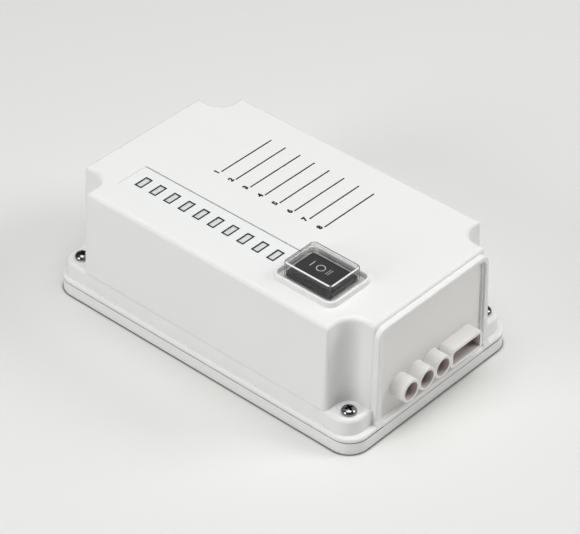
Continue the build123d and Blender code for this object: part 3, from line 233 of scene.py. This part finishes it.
def sleeve_painted_shade(tree, place, tint):
    """The panel's colour, with painted shade, grey brown, on the walls of the sleeves' openings."""
    reaches = []
    for y, half_length, half_height in (
        *((y, bore_half, bore_half) for y in bore_places),
        (port_y, port_half_length, port_half_height),
    ):
        offset = add(tree, "ShaderNodeVectorMath", {"operation": "SUBTRACT"},
                     place.outputs["Object"], (0.0, y * mm, entry_z * mm))
        fitted = add(tree, "ShaderNodeVectorMath", {"operation": "MULTIPLY"},
                     offset.outputs[0], (0.0, 1 / (half_length * mm), 1 / (half_height * mm)))
        if half_length == half_height:
            reach = add(tree, "ShaderNodeVectorMath", {"operation": "LENGTH"}, fitted.outputs[0])
            reaches.append(reach.outputs["Value"])
        else:
            sides = add(tree, "ShaderNodeVectorMath", {"operation": "ABSOLUTE"}, fitted.outputs[0])
            split = add(tree, "ShaderNodeSeparateXYZ", Vector=sides.outputs[0])
            reach = add(tree, "ShaderNodeMath", {"operation": "MAXIMUM"},
                        split.outputs["Y"], split.outputs["Z"])
            reaches.append(reach.outputs[0])
    nearest = reaches[0]
    for reach in reaches[1:]:
        nearest = add(tree, "ShaderNodeMath", {"operation": "MINIMUM"}, nearest, reach).outputs[0]
    within = add(tree, "ShaderNodeMapRange",
                 {"From Min": 1 + entry_edge, "From Max": 1 - entry_edge}, Value=nearest)
    apart = add(tree, "ShaderNodeSeparateXYZ", Vector=place.outputs["Object"])
    depth = add(tree, "ShaderNodeMapRange",
                {"From Min": mouth_x * mm, "From Max": (mouth_x - painted_shade_depth) * mm,
                 "To Min": mouth_shade_share},
                Value=apart.outputs["X"])
    share = add(tree, "ShaderNodeMath", {"operation": "MULTIPLY"},
                within.outputs[0], depth.outputs[0])
    # The colours of a Mix node are its inputs 6 and 7 and its output 2.
    mixed = add(tree, "ShaderNodeMix", {"data_type": "RGBA"}, share.outputs[0])
    tree.links.new(tint.outputs["Color"], mixed.inputs[6])
    # The grey brown of the painted shade in the sleeves.
    mixed.inputs[7].default_value = linear("C4B4B4")
    return mixed.outputs[2]


abs_panel = moulded("off-white ABS, smooth", "EAE9E7", 0.36, grain_mm=0.5, grain_depth=0.01,
                    shade_painter=sleeve_painted_shade)
dress(node["end_panel"], abs_panel)


# Seal: a black cord of nitrile rubber in the groove of the base, with a thin lip that reaches out
# into the joint and shows there as a dark line all round the case.
def join_loops(shape, loops):
    """Faces between each closed loop of vertices and the next."""
    for loop, after in zip(loops, loops[1:]):
        for i in range(len(loop)):
            j = (i + 1) % len(loop)
            shape.faces.new((loop[i], loop[j], after[j], after[i]))


rubber = moulded("black nitrile rubber", "1B1B1C", 0.75, grain_mm=0.8, ior=1.52)
dress(node["base_gasket"], rubber)
case_end, case_side = (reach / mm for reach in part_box("base")[1][:2])
base_corner, corner_step = 11.5, 9
lip_low, lip_high, lip_outer, lip_inner, end_reach = 6.92, 7.28, 0.4, 0.97, 0.36
shape = bmesh.new()
loops = []
for inset, height in (
    (lip_outer, lip_low), (lip_outer, lip_high), (lip_inner, lip_high), (lip_inner, lip_low),
):
    loop = []
    for sx, sy, start in ((1, 1, 0), (-1, 1, 90), (-1, -1, 180), (1, -1, 270)):
        radius = base_corner - inset
        radius_x = radius + end_reach if sx > 0 else radius
        for turn in range(start, start + 91, corner_step):
            loop.append(shape.verts.new((
                (sx * (case_end - base_corner) + radius_x * math.cos(math.radians(turn))) * mm,
                (sy * (case_side - base_corner) + radius * math.sin(math.radians(turn))) * mm,
                height * mm,
            )))
    loops.append(loop)
join_loops(shape, loops + loops[:1])
bmesh.ops.recalc_face_normals(shape, faces=shape.faces)
shaped_piece("seal_lip", shape, rubber)

# Feet of the collar's legs: white ABS, moulded with the cover. They fill the corner between the
# flange and the sill, flush with both, and run out into the leg above.
leg_from, leg_to, leg_face = 38.97, 43.42, 98.84
foot_back, foot_front, foot_low, foot_high, foot_edge = 97.5, 99.95, 7.3, 12.5, 0.2
profile = [(foot_back, foot_low), (foot_front, foot_low), (foot_front, 8.7), (99.7, 9.5),
           (leg_face, foot_high), (foot_back, foot_high)]
shape = bmesh.new()
for side in (-1, 1):
    inner, outer = (
        [shape.verts.new((x * mm, side * y * mm, z * mm)) for x, z in profile]
        for y in (leg_from, leg_to)
    )
    shape.faces.new(inner)
    shape.faces.new(outer)
    join_loops(shape, [inner, outer])
bmesh.ops.recalc_face_normals(shape, faces=shape.faces)
bmesh.ops.bevel(shape, geom=shape.edges, offset=foot_edge * mm, segments=2, affect="EDGES")
shaped_piece("leg_feet", shape, abs_white)


# Cover screws: pan heads with a cross recess, zinc plated and bright, one in each corner notch.
# One head is turned and cut, and Geometry Nodes sets it on the four screw axes.
def plated(name, hex_colour, roughness):
    """Metal with fine scratches along X, twelve times as long as they are wide."""
    scratch_mm, scratch_stretch, scratch_depth = 0.12, 12.0, 0.01
    polish_below, polish_above = 0.06, 0.08
    made, tree = new_material(name)
    place = add(tree, "ShaderNodeTexCoord")
    stretch = add(tree, "ShaderNodeMapping", {"Scale": (1.0, scratch_stretch, 1.0)},
                  Vector=place.outputs["Object"])
    scratch = add(tree, "ShaderNodeTexNoise",
                  {"Scale": 1 / (scratch_mm * scratch_stretch * mm), "Detail": 3.0},
                  Vector=stretch.outputs[0])
    polish = add(tree, "ShaderNodeMapRange",
                 {"To Min": roughness - polish_below, "To Max": roughness + polish_above},
                 Value=scratch.outputs["Fac"])
    relief = add(tree, "ShaderNodeBump", {"Strength": 0.2, "Distance": scratch_depth * mm},
                 Height=scratch.outputs["Fac"])
    surface = add(tree, "ShaderNodeBsdfPrincipled",
                  {"Base Color": linear(hex_colour), "Metallic": 1.0},
                  Roughness=polish.outputs[0], Normal=relief.outputs["Normal"])
    add(tree, "ShaderNodeOutputMaterial", Surface=surface.outputs[0])
    return made


def turned(profile, steps=48):
    """A closed shape turned round the Z axis from (radius, height) pairs, in millimetres."""
    shape = bmesh.new()
    rings = []
    for radius, height in profile:
        if radius == 0:
            rings.append([shape.verts.new((0, 0, height * mm))])
        else:
            rings.append([
                shape.verts.new((radius * mm * math.cos(a), radius * mm * math.sin(a), height * mm))
                for a in (2 * math.pi * i / steps for i in range(steps))
            ])
    for low, high in zip(rings, rings[1:]):
        for i in range(steps):
            j = (i + 1) % steps
            corners = [low[i % len(low)], low[j % len(low)],
                       high[j % len(high)], high[i % len(high)]]
            shape.faces.new(list(dict.fromkeys(corners)))
    bmesh.ops.recalc_face_normals(shape, faces=shape.faces)
    return shape


def plain_mesh(piece):
    """A mesh of the piece with its modifiers applied; the piece itself goes."""
    bpy.context.view_layer.update()
    made = bpy.data.meshes.new_from_object(
        piece.evaluated_get(bpy.context.evaluated_depsgraph_get())
    )
    bpy.data.objects.remove(piece)
    return made


def tree_with(name, **kinds):
    """A geometry node tree with a geometry output and the given named inputs."""
    tree = bpy.data.node_groups.new(name, "GeometryNodeTree")
    tree.interface.new_socket("Geometry", in_out="OUTPUT", socket_type="NodeSocketGeometry")
    for label, kind in kinds.items():
        tree.interface.new_socket(label.replace("_", " "), in_out="INPUT",
                                  socket_type="NodeSocket" + kind)
    return tree, tree.nodes.new("NodeGroupInput"), tree.nodes.new("NodeGroupOutput")


def set_on_points(tree, given, result, points, part, **turn):
    """Ends a tree with the part on each point, made real, in the material of the input Finish."""
    placed = add(tree, "GeometryNodeInstanceOnPoints", Points=points, Instance=part, **turn)
    solid = add(tree, "GeometryNodeRealizeInstances", Geometry=placed.outputs[0])
    painted = add(tree, "GeometryNodeSetMaterial", Geometry=solid.outputs[0],
                  Material=given.outputs["Finish"])
    tree.links.new(painted.outputs[0], result.inputs[0])


def grown_piece(name, tree, finish, **values):
    """The plain mesh piece that the tree makes, with its named inputs set by identifier."""
    carrier = bpy.data.objects.new(name, bpy.data.meshes.new(name))
    scene.collection.objects.link(carrier)
    modifier = carrier.modifiers.new(name, "NODES")
    modifier.node_group = tree
    values["Finish"] = finish
    for item in tree.interface.items_tree:
        if item.item_type == "SOCKET" and item.in_out == "INPUT":
            modifier[item.identifier] = values[item.name.replace(" ", "_")]
    return add_piece(name, plain_mesh(carrier), finish)


screw_x, screw_y, screw_seat, screw_turn = 89.1, 51.7, 18.5, 1.5
head = [(0, 2.9), (1.3, 2.86), (2.3, 2.66), (3.1, 2.26), (3.65, 1.7), (3.92, 1.1), (4.0, 0.55),
        (3.94, 0.4), (3.5, 0.3), (3.4, 0.0), (1.95, 0.0), (1.95, -11.2), (1.2, -12.0), (0, -12.0)]
wing, reach, recess_top, recess_foot, recess_taper = 0.72, 2.6, 3.4, 0.7, 0.5
screw_edge, screw_weld = 0.09, 0.004
zinc = plated("zinc plated steel", "8A8C8E", 0.17)
screw = shaped_piece("screw", turned(head), zinc, None)
plan = [(reach, -wing), (reach, wing), (wing, wing)]
for quarter in range(3):
    plan += [(-y, x) for x, y in plan[-3:]]
shape = bmesh.new()
upper, lower = (
    [shape.verts.new((x * share * mm, y * share * mm, height * mm)) for x, y in plan]
    for share, height in ((1.0, recess_top), (recess_taper, recess_foot))
)
shape.faces.new(upper)
shape.faces.new(lower)
join_loops(shape, [upper, lower])
bmesh.ops.recalc_face_normals(shape, faces=shape.faces)
recess = shaped_piece("recess", shape, zinc, None)
cut = screw.modifiers.new("recess", "BOOLEAN")
cut.object, cut.operation, cut.solver = recess, "DIFFERENCE", "EXACT"
soften = screw.modifiers.new("edges", "BEVEL")
soften.width, soften.segments, soften.angle_limit = screw_edge * mm, 2, math.radians(35)
screw_mesh = plain_mesh(screw)
bpy.data.objects.remove(recess)
shape = bmesh.new()
shape.from_mesh(screw_mesh)
bmesh.ops.remove_doubles(shape, verts=shape.verts, dist=screw_weld * mm)
bmesh.ops.dissolve_degenerate(shape, edges=shape.edges, dist=screw_weld * mm)
faces_on = {}
for face in shape.faces:
    faces_on.setdefault(frozenset(face.verts), []).append(face)
doubled = [face for faces in faces_on.values() if len(faces) > 1 for face in faces]
bmesh.ops.delete(shape, geom=doubled, context="FACES")
screw = shaped_piece("screw", shape, zinc, None)
for face in screw.data.polygons:
    face.use_smooth = True
screw.data.set_sharp_from_angle(angle=math.radians(40))

tree, given, result = tree_with(
    "screws in the notches", Screw="Object", Finish="Material", Spacing_X="Float",
    Spacing_Y="Float", Seat="Float", Turn="Float", Seed="Int",
)
sheet = add(tree, "GeometryNodeMeshGrid", {"Vertices X": 2, "Vertices Y": 2},
            Size_X=given.outputs["Spacing X"], Size_Y=given.outputs["Spacing Y"])
lift = add(tree, "ShaderNodeCombineXYZ", Z=given.outputs["Seat"])
seated = add(tree, "GeometryNodeTransform", Geometry=sheet.outputs["Mesh"],
             Translation=lift.outputs[0])
part = add(tree, "GeometryNodeObjectInfo", Object=given.outputs["Screw"])
# The single numbers of a Random Value node go in at input 3, the highest, and out at output 1.
turn = add(tree, "FunctionNodeRandomValue", {"data_type": "FLOAT"}, Seed=given.outputs["Seed"])
tree.links.new(given.outputs["Turn"], turn.inputs[3])
angle = add(tree, "ShaderNodeCombineXYZ", Z=turn.outputs[1])
set_on_points(tree, given, result, seated.outputs[0], part.outputs["Geometry"],
              Rotation=angle.outputs[0])
screws = grown_piece("cross_recess_screws", tree, zinc, Screw=screw, Spacing_X=2 * screw_x * mm,
                     Spacing_Y=2 * screw_y * mm, Seat=screw_seat * mm, Turn=screw_turn, Seed=3)
bpy.data.objects.remove(screw)
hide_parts("cover_screws")
for name in ("indicator_screws", "main_board_screws", "strap_screws", "clamp_screws"):
    dress(node[name], zinc)


# Label film: a strip of white polyester in the recess beside the switch, slightly cooler and
# glossier than the case, with a black printed frame round each window. A grey strip along its far
# edge is painted shade, in place of the shade at the step of the recess.
def row_points(tree, given):
    """The points of a row along X, from the inputs Count, Start and Pitch."""
    step = add(tree, "ShaderNodeCombineXYZ", X=given.outputs["Pitch"])
    row = add(tree, "GeometryNodeMeshLine", {"mode": "OFFSET"}, Count=given.outputs["Count"],
              Start_Location=given.outputs["Start"], Offset=step.outputs[0])
    return row.outputs[0]


film = moulded("white polyester film", "EDEEEE", 0.3, grain_mm=0.25, grain_depth=0.006, drift=0.01)
dress(node["label_film"], film)
ink = moulded("black screen print", "070708", 0.6, grain_mm=0.2, grain_depth=0.01, drift=0.15)
film_low, film_high = (Vector(corner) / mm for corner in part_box("label_film"))
window_first, window_y, window_pitch, window_count = -63.85, -32.05, 9.75, 10
window_width, window_length, frame_line = 2.9, 7.1, 0.9
print_rise, print_lift, print_weld = 0.02, 0.005, 0.0005
tree, given, result = tree_with(
    "printed window frames", Finish="Material", Count="Int", Pitch="Float", Width="Float",
    Length="Float", Line="Float", Rise="Float", Start="Vector",
)
wider, longer = (
    add(tree, "ShaderNodeMath", {"operation": "MULTIPLY_ADD"},
        given.outputs["Line"], 2.0, given.outputs[side]).outputs[0]
    for side in ("Width", "Length")
)
outer = add(tree, "GeometryNodeCurvePrimitiveQuadrilateral", {"mode": "RECTANGLE"},
            Width=wider, Height=longer)
inner = add(tree, "GeometryNodeCurvePrimitiveQuadrilateral", {"mode": "RECTANGLE"},
            Width=given.outputs["Width"], Height=given.outputs["Length"])
edges = add(tree, "GeometryNodeJoinGeometry")
for curve in (outer, inner):
    tree.links.new(curve.outputs[0], edges.inputs[0])
ring = add(tree, "GeometryNodeFillCurve", Curve=edges.outputs[0])
raised = add(tree, "GeometryNodeExtrudeMesh", {"Individual": False}, Mesh=ring.outputs[0],
             Offset_Scale=given.outputs["Rise"])
under = add(tree, "GeometryNodeFlipFaces", Mesh=ring.outputs[0])
closed = add(tree, "GeometryNodeJoinGeometry")
for half in (raised, under):
    tree.links.new(half.outputs[0], closed.inputs[0])
welded = add(tree, "GeometryNodeMergeByDistance", {"Distance": print_weld * mm},
             Geometry=closed.outputs[0])
set_on_points(tree, given, result, row_points(tree, given), welded.outputs[0])
window_frames = grown_piece(
    "window_frames", tree, ink, Count=window_count, Pitch=window_pitch * mm,
    Width=window_width * mm, Length=window_length * mm, Line=frame_line * mm,
    Rise=print_rise * mm,
    Start=(window_first * mm, window_y * mm, (film_high.z + print_lift) * mm),
)
# Painted shade: a thin grey strip along the film's far edge, standing in for the shade at the
# recess step.
step_shade_paint = moulded("grey painted step shade", "8E8F90", 0.5, grain_mm=0.2, grain_depth=0.01)
step_shade_width = 0.5
shape = bmesh.new()
bmesh.ops.create_cube(shape, size=1.0)
bmesh.ops.scale(shape, verts=shape.verts,
                vec=((film_high.x - film_low.x) * mm, step_shade_width * mm, 2 * print_rise * mm))
bmesh.ops.translate(shape, verts=shape.verts, vec=(
    (film_high.x + film_low.x) / 2 * mm, (film_high.y - step_shade_width / 2) * mm, film_high.z * mm,
))
shaped_piece("film_border", shape, step_shade_paint)

# Printing on the cover: eight thin black rules, one for each sensor, with its number at the near
# end. They are screen printed and stand a trace above the plastic.
rule_first, rule_low, rule_high, rule_line, rule_count = -41.7, 0.9, 38.5, 0.85, 8
top_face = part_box("clear_hood")[0][2] / mm
tree, given, result = tree_with(
    "printed rules", Finish="Material", Count="Int", Pitch="Float", Length="Float", Line="Float",
    Rise="Float", Start="Vector",
)
size = add(tree, "ShaderNodeCombineXYZ", X=given.outputs["Line"], Y=given.outputs["Length"],
           Z=given.outputs["Rise"])
bar = add(tree, "GeometryNodeMeshCube", Size=size.outputs[0])
set_on_points(tree, given, result, row_points(tree, given), bar.outputs[0])
rules = grown_piece(
    "printed_rules", tree, ink, Count=rule_count, Pitch=window_pitch * mm,
    Length=(rule_high - rule_low) * mm, Line=rule_line * mm, Rise=2 * print_rise * mm,
    Start=(rule_first * mm, (rule_low + rule_high) / 2 * mm, top_face * mm),
)
# A digit's height is digit_share of its font size. An offset and a bevel make it bolder, and it is
# squashed to take back the height that the bevel adds.
digit_height, digit_back, digit_gap, digit_share = 2.85, 1.5, 1.7, 0.7
digit_offset, digit_bevel = 0.1, 0.2
for i in range(rule_count):
    curve = bpy.data.curves.new("print", "FONT")
    curve.body, curve.size = str(i + 1), digit_height / digit_share * mm
    curve.align_x, curve.align_y = "CENTER", "CENTER"
    curve.extrude, curve.offset = print_rise * mm, digit_offset * mm
    curve.bevel_depth, curve.bevel_resolution = digit_bevel * mm, 0
    digit = bpy.data.objects.new("print", curve)
    scene.collection.objects.link(digit)
    shape = bmesh.new()
    shape.from_mesh(plain_mesh(digit))
    shape.transform(
        Matrix.Translation(Vector((
            rule_first - digit_back + i * window_pitch, rule_low - digit_gap, top_face,
        )) * mm)
        @ Matrix.Rotation(math.pi / 2, 4, "Z")
        @ Matrix.Diagonal((1.0, 1.0, print_rise / (print_rise + digit_bevel), 1.0))
    )
    bmesh.ops.remove_doubles(shape, verts=shape.verts, dist=print_weld * mm)
    bmesh.ops.recalc_face_normals(shape, faces=shape.faces)
    shaped_piece(f"rule_number_{i + 1}", shape, ink)

# Light guides: bars of clear acrylic with a frosted end in each window, unlit, so they look pale
# grey. The small domed lamps below them have the same finish.
frost_mm, frost_depth, glow_reach = 0.6, 0.02, 2.0 * mm
acrylic, tree = new_material("frosted acrylic")
place = add(tree, "ShaderNodeTexCoord")
frost = add(tree, "ShaderNodeTexNoise", {"Scale": 1 / (frost_mm * mm), "Detail": 2.0},
            Vector=place.outputs["Object"])
relief = add(tree, "ShaderNodeBump", {"Strength": 0.3, "Distance": frost_depth * mm},
             Height=frost.outputs["Fac"])
surface = add(tree, "ShaderNodeBsdfPrincipled",
              {"Base Color": linear("D9DBD9"), "Roughness": 0.35, "IOR": 1.49,
               "Subsurface Weight": 0.3, "Subsurface Scale": 1.0,
               "Subsurface Radius": (glow_reach, glow_reach, glow_reach)},
              Normal=relief.outputs["Normal"])
add(tree, "ShaderNodeOutputMaterial", Surface=surface.outputs[0])
dress(node["light_guides"], acrylic)
dress(node["indicator_leds"], acrylic)

# Switch body: one moulding of black glass-filled nylon, with the bezel on top, that sits in the
# opening of the cover. Its grain is a little coarser than that of the rocker in it.
nylon = moulded("black nylon, moulded", "1D1D1E", 0.42, grain_mm=0.4, grain_depth=0.02, drift=0.1)
dress(node["switch_body"], nylon)

# Rocker: smooth black polycarbonate with a dished face, on two pins in the switch body. The marks
# of its three positions are pad printed in white and follow the dish.
rocker_black = moulded("black polycarbonate, satin", "2E2E2F", 0.34, grain_mm=0.3, drift=0.08,
                       ior=1.58)
dress(node["rocker"], rocker_black)
mark_white = moulded("white pad print", "E9E9E7", 0.5, grain_mm=0.2, drift=0.02)
rocker_low, rocker_high = (Vector(corner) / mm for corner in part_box("rocker"))
switch_x, switch_y = ((rocker_low + rocker_high) / 2)[:2]
face_z, dish, face_length = rocker_high.z, 0.7, 23.1
mark_y, mark_line, mark_length, mark_depth, thin_share = -30.3, 0.4, 4.3, 0.04, 0.65
one_x, ring_x, two_places, ring_radius, ring_steps = 45.9, 51.2, (55.75, 57.0), 2.4, 48
mark_weld = 0.0001


def dished(x_mm):
    """Height of the rocker's face at a place along it, on the arc through its ends and middle."""
    half = face_length / 2
    radius = (half * half + dish * dish) / (2 * dish)
    return face_z - dish + radius - math.sqrt(radius * radius - (x_mm - switch_x) ** 2)


shape = bmesh.new()
for mark_x, line in ((one_x, mark_line), *((x, mark_line * thin_share) for x in two_places)):
    bar = bmesh.ops.create_cube(shape, size=1.0)["verts"]
    bmesh.ops.scale(shape, verts=bar, vec=(line * mm, mark_length * mm, 2 * mark_depth * mm))
    bmesh.ops.translate(shape, verts=bar, vec=(mark_x * mm, mark_y * mm, dished(mark_x) * mm))
loops = []
for radius, depth in (
    (ring_radius - mark_line, -mark_depth), (ring_radius - mark_line, mark_depth),
    (ring_radius, mark_depth), (ring_radius, -mark_depth),
):
    loop = []
    for i in range(ring_steps):
        angle = 2 * math.pi * i / ring_steps
        x, y = ring_x + radius * math.cos(angle), mark_y + radius * math.sin(angle)
        loop.append(shape.verts.new((x * mm, y * mm, (dished(x) + depth) * mm)))
    loops.append(loop)
join_loops(shape, loops + loops[:1])
bmesh.ops.remove_doubles(shape, verts=shape.verts, dist=mark_weld * mm)
bmesh.ops.recalc_face_normals(shape, faces=shape.faces)
shaped_piece("rocker_marks", shape, mark_white, "rocker")

# Clear hood: a thin box of clear polycarbonate over the switch. Its flat faces are seen through.
# Its rounded upper edges and upright corners carry painted highlight in white where they face the
# eye, and painted dark lines where they turn away and along the outline.
clear, tree = new_material("clear polycarbonate")
hood_length, hood_breadth = 30.4, 22.8
hood_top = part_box("clear_hood")[1][2] / mm
# Reaches and strengths of the painted dark lines and painted highlights on the hood's edges, and of
# its haze.
dark_reach, dark_fade, bright_reach, bright_fade = 1.1, 0.2, 0.5, 0.3
upright_reach, upright_fade, upright_highlight_share, haze = 1.0, 0.6, 0.05, 0.008
away_from, away_full, outline_from, outline_full, outline_shade_share = 0.41, 0.46, 0.62, 0.9, 0.8
mirror_facing, mirror_grazing, mirror_power = 0.022, 0.5, 4.0
place = add(tree, "ShaderNodeTexCoord")
centred = add(tree, "ShaderNodeMapping", {"Location": (-switch_x * mm, -switch_y * mm, 0.0)},
              Vector=place.outputs["Object"])
apart = add(tree, "ShaderNodeSeparateXYZ", Vector=centred.outputs[0])


def near_sides(tree, reach, fade):
    """For each pair of sides, 1 within reach of the hood's outside, falling to 0 over fade."""
    nearness = []
    for axis, half in (("X", hood_length / 2), ("Y", hood_breadth / 2)):
        offset = add(tree, "ShaderNodeMath", {"operation": "ABSOLUTE"}, apart.outputs[axis])
        near = add(tree, "ShaderNodeMapRange",
                   {"From Min": (half - reach - fade) * mm, "From Max": (half - reach) * mm},
                   Value=offset.outputs[0])
        nearness.append(near.outputs[0])
    return nearness


def upper_edges(tree, reach, fade):
    """The hood's upper edges within reach of its outside."""
    high = add(tree, "ShaderNodeMapRange",
               {"From Min": (hood_top - reach - fade) * mm, "From Max": (hood_top - reach) * mm},
               Value=apart.outputs["Z"])
    sides = add(tree, "ShaderNodeMath", {"operation": "MAXIMUM"}, *near_sides(tree, reach, fade))
    edges = add(tree, "ShaderNodeMath", {"operation": "MULTIPLY"},
                sides.outputs[0], high.outputs[0])
    return edges.outputs[0]


slant = add(tree, "ShaderNodeLayerWeight", {"Blend": 0.5}).outputs["Facing"]
away = add(tree, "ShaderNodeMapRange", {"From Min": away_from, "From Max": away_full}, Value=slant)
# Painted dark lines: upper edges turned away from the eye, and the outline, darken what shows
# through.
painted_dark_edge = add(tree, "ShaderNodeMath", {"operation": "MULTIPLY"},
                upper_edges(tree, dark_reach, dark_fade), away.outputs[0])
painted_outline = add(tree, "ShaderNodeMapRange",
              {"From Min": outline_from, "From Max": outline_full, "To Max": outline_shade_share},
              Value=slant)
painted_dark_lines = add(tree, "ShaderNodeMath", {"operation": "MAXIMUM"},
           painted_dark_edge.outputs[0], painted_outline.outputs[0])
tint = add(tree, "ShaderNodeMix", {"data_type": "RGBA"}, painted_dark_lines.outputs[0])
tint.inputs[6].default_value = linear("FAFAFA")
tint.inputs[7].default_value = linear("505050")
see_through = add(tree, "ShaderNodeBsdfTransparent", Color=tint.outputs[2])
gloss = add(tree, "ShaderNodeBsdfGlossy", {"Color": linear("FFFFFF"), "Roughness": 0.05})
steep = add(tree, "ShaderNodeMath", {"operation": "POWER"}, slant, mirror_power)
mirror = add(tree, "ShaderNodeMapRange", {"To Min": mirror_facing, "To Max": mirror_grazing},
             Value=steep.outputs[0])
pane = add(tree, "ShaderNodeMixShader", None,
           mirror.outputs[0], see_through.outputs[0], gloss.outputs[0])
toward = add(tree, "ShaderNodeMath", {"operation": "SUBTRACT"}, 1.0, away.outputs[0])
# Painted highlight in white on the upper edges that face the eye and on the upright corners.
painted_bright_edge = add(tree, "ShaderNodeMath", {"operation": "MULTIPLY"},
                  upper_edges(tree, bright_reach, bright_fade), toward.outputs[0])
corners = add(tree, "ShaderNodeMath", {"operation": "MINIMUM"},
              *near_sides(tree, upright_reach, upright_fade))
painted_upright_highlights = add(tree, "ShaderNodeMath", {"operation": "MULTIPLY"}, corners.outputs[0], upright_highlight_share)
haze_and_painted_uprights = add(tree, "ShaderNodeMath", {"operation": "MAXIMUM"}, painted_upright_highlights.outputs[0], haze)
share = add(tree, "ShaderNodeMath", {"operation": "MAXIMUM"},
            painted_bright_edge.outputs[0], haze_and_painted_uprights.outputs[0])
# White for the painted highlights, which also lays a trace of haze over the whole hood.
haze_and_painted_highlight = add(tree, "ShaderNodeBsdfDiffuse", {"Color": linear("F2F2F2")})
mixed = add(tree, "ShaderNodeMixShader", None,
            share.outputs[0], pane.outputs[0], haze_and_painted_highlight.outputs[0])
add(tree, "ShaderNodeOutputMaterial", Surface=mixed.outputs[0])
dress(node["clear_hood"], clear)

# Brass parts: the blades of the switch, the clips of the fuse and the tabs of the battery. They
# are stamped from rolled strip and left bare, a warm yellow with a soft sheen.
brass = plated("rolled brass", "C8A765", 0.3)
for name in ("switch_terminals", "fuse_clips", "battery_tabs"):
    dress(node[name], brass)

# Circuit boards: glass epoxy under a green solder mask, smooth and half glossy. Lighter copper
# tracks show through it and stand up a little.
track_mm, track_rise = 9.0, 0.035
board, tree = new_material("green solder mask")
place = add(tree, "ShaderNodeTexCoord")
tracks = add(tree, "ShaderNodeTexBrick",
             {"Scale": 1 / (track_mm * mm), "Mortar Size": 0.05, "Color1": linear("1C6B3A"),
              "Color2": linear("1F7340"), "Mortar": linear("2E8F55")},
             Vector=place.outputs["Object"])
relief = add(tree, "ShaderNodeBump", {"Strength": 0.4, "Distance": track_rise * mm},
             Height=tracks.outputs["Fac"])
surface = add(tree, "ShaderNodeBsdfPrincipled", {"Roughness": 0.35, "IOR": 1.55},
              Base_Color=tracks.outputs["Color"], Normal=relief.outputs["Normal"])
add(tree, "ShaderNodeOutputMaterial", Surface=surface.outputs[0])
dress(node["main_board"], board)
dress(node["indicator_board"], board)

# Board parts, battery and leads: the potted transformer, relays, sleeves of the capacitors, black
# epoxy packages, nylon terminal blocks and plugs, PVC leads. Each has its usual colour and sheen.
for finish, names in (
    (moulded("blue potting case", "22305C", 0.45), ("transformer",)),
    (moulded("blue relay case", "2A4A8C", 0.4), ("relays",)),
    (moulded("black PVC sleeve", "15161F", 0.3, grain_mm=0.6), ("capacitors",)),
    (moulded("black epoxy", "1A1A1B", 0.55, grain_mm=0.2),
     ("bridge_rectifier", "regulator", "microcontroller", "buzzer", "ribbon_headers")),
    (moulded("green nylon", "1E7A45", 0.45), ("mains_block", "valve_block", "sensor_block")),
    (moulded("natural nylon", "DDD9CC", 0.5), ("lead_plugs",)),
    (moulded("red PVC insulation", "9B1C1A", 0.4), ("battery_leads",)),
    (moulded("black PVC insulation", "1C1C1E", 0.4), ("switch_leads",)),
    (moulded("dark grey battery case", "2C2D30", 0.5, grain_mm=0.6), ("battery",)),
):
    for name in names:
        dress(node[name], finish)

# Heat sink: an extruded aluminium profile, black anodised, which leaves it dark grey with a dull
# metal sheen.
dress(node["heat_sink"], plated("black anodised aluminium", "4A4A4C", 0.45))

# Battery strap: a strip of zinc plated sheet steel, bent over the battery and screwed down. It is
# paler and duller than the screws.
dress(node["battery_strap"], plated("zinc plated sheet", "BFC1C3", 0.35))

# Fuse: a glass tube between nickel plated caps. It is one solid, so all of it has the bright grey
# of the caps.
dress(node["fuse"], plated("glass and nickel", "C4C6C4", 0.18))

# Ribbon cable: ten wires side by side in grey PVC, with ribs along the cable. The ribs are drawn
# much wider than the real wires, with painted shade in the grooves between them. At scale 1 a Wave
# texture repeats after wave_period.
rib_pitch, rib_depth, wave_period = 7.98, 0.3, 2 * math.pi / 20
ribbon, tree = new_material("grey ribbed PVC, painted groove shade")
place = add(tree, "ShaderNodeTexCoord")
ribs = add(tree, "ShaderNodeTexWave",
           {"wave_type": "BANDS", "bands_direction": "Y", "Scale": wave_period / (rib_pitch * mm)},
           Vector=place.outputs["Object"])
# Painted shade: darker grey in the grooves and lighter on the crests, following the bump of the
# ribs.
shade = add(tree, "ShaderNodeValToRGB", Fac=ribs.outputs["Fac"])
shade.color_ramp.elements[0].color = linear("6F7275")
shade.color_ramp.elements[1].color = linear("94979A")
relief = add(tree, "ShaderNodeBump", {"Strength": 0.6, "Distance": rib_depth * mm},
             Height=ribs.outputs["Fac"])
surface = add(tree, "ShaderNodeBsdfPrincipled", {"Roughness": 0.5, "IOR": 1.53},
              Base_Color=shade.outputs["Color"], Normal=relief.outputs["Normal"])
add(tree, "ShaderNodeOutputMaterial", Surface=surface.outputs[0])
dress(node["ribbon_cable"], ribbon)
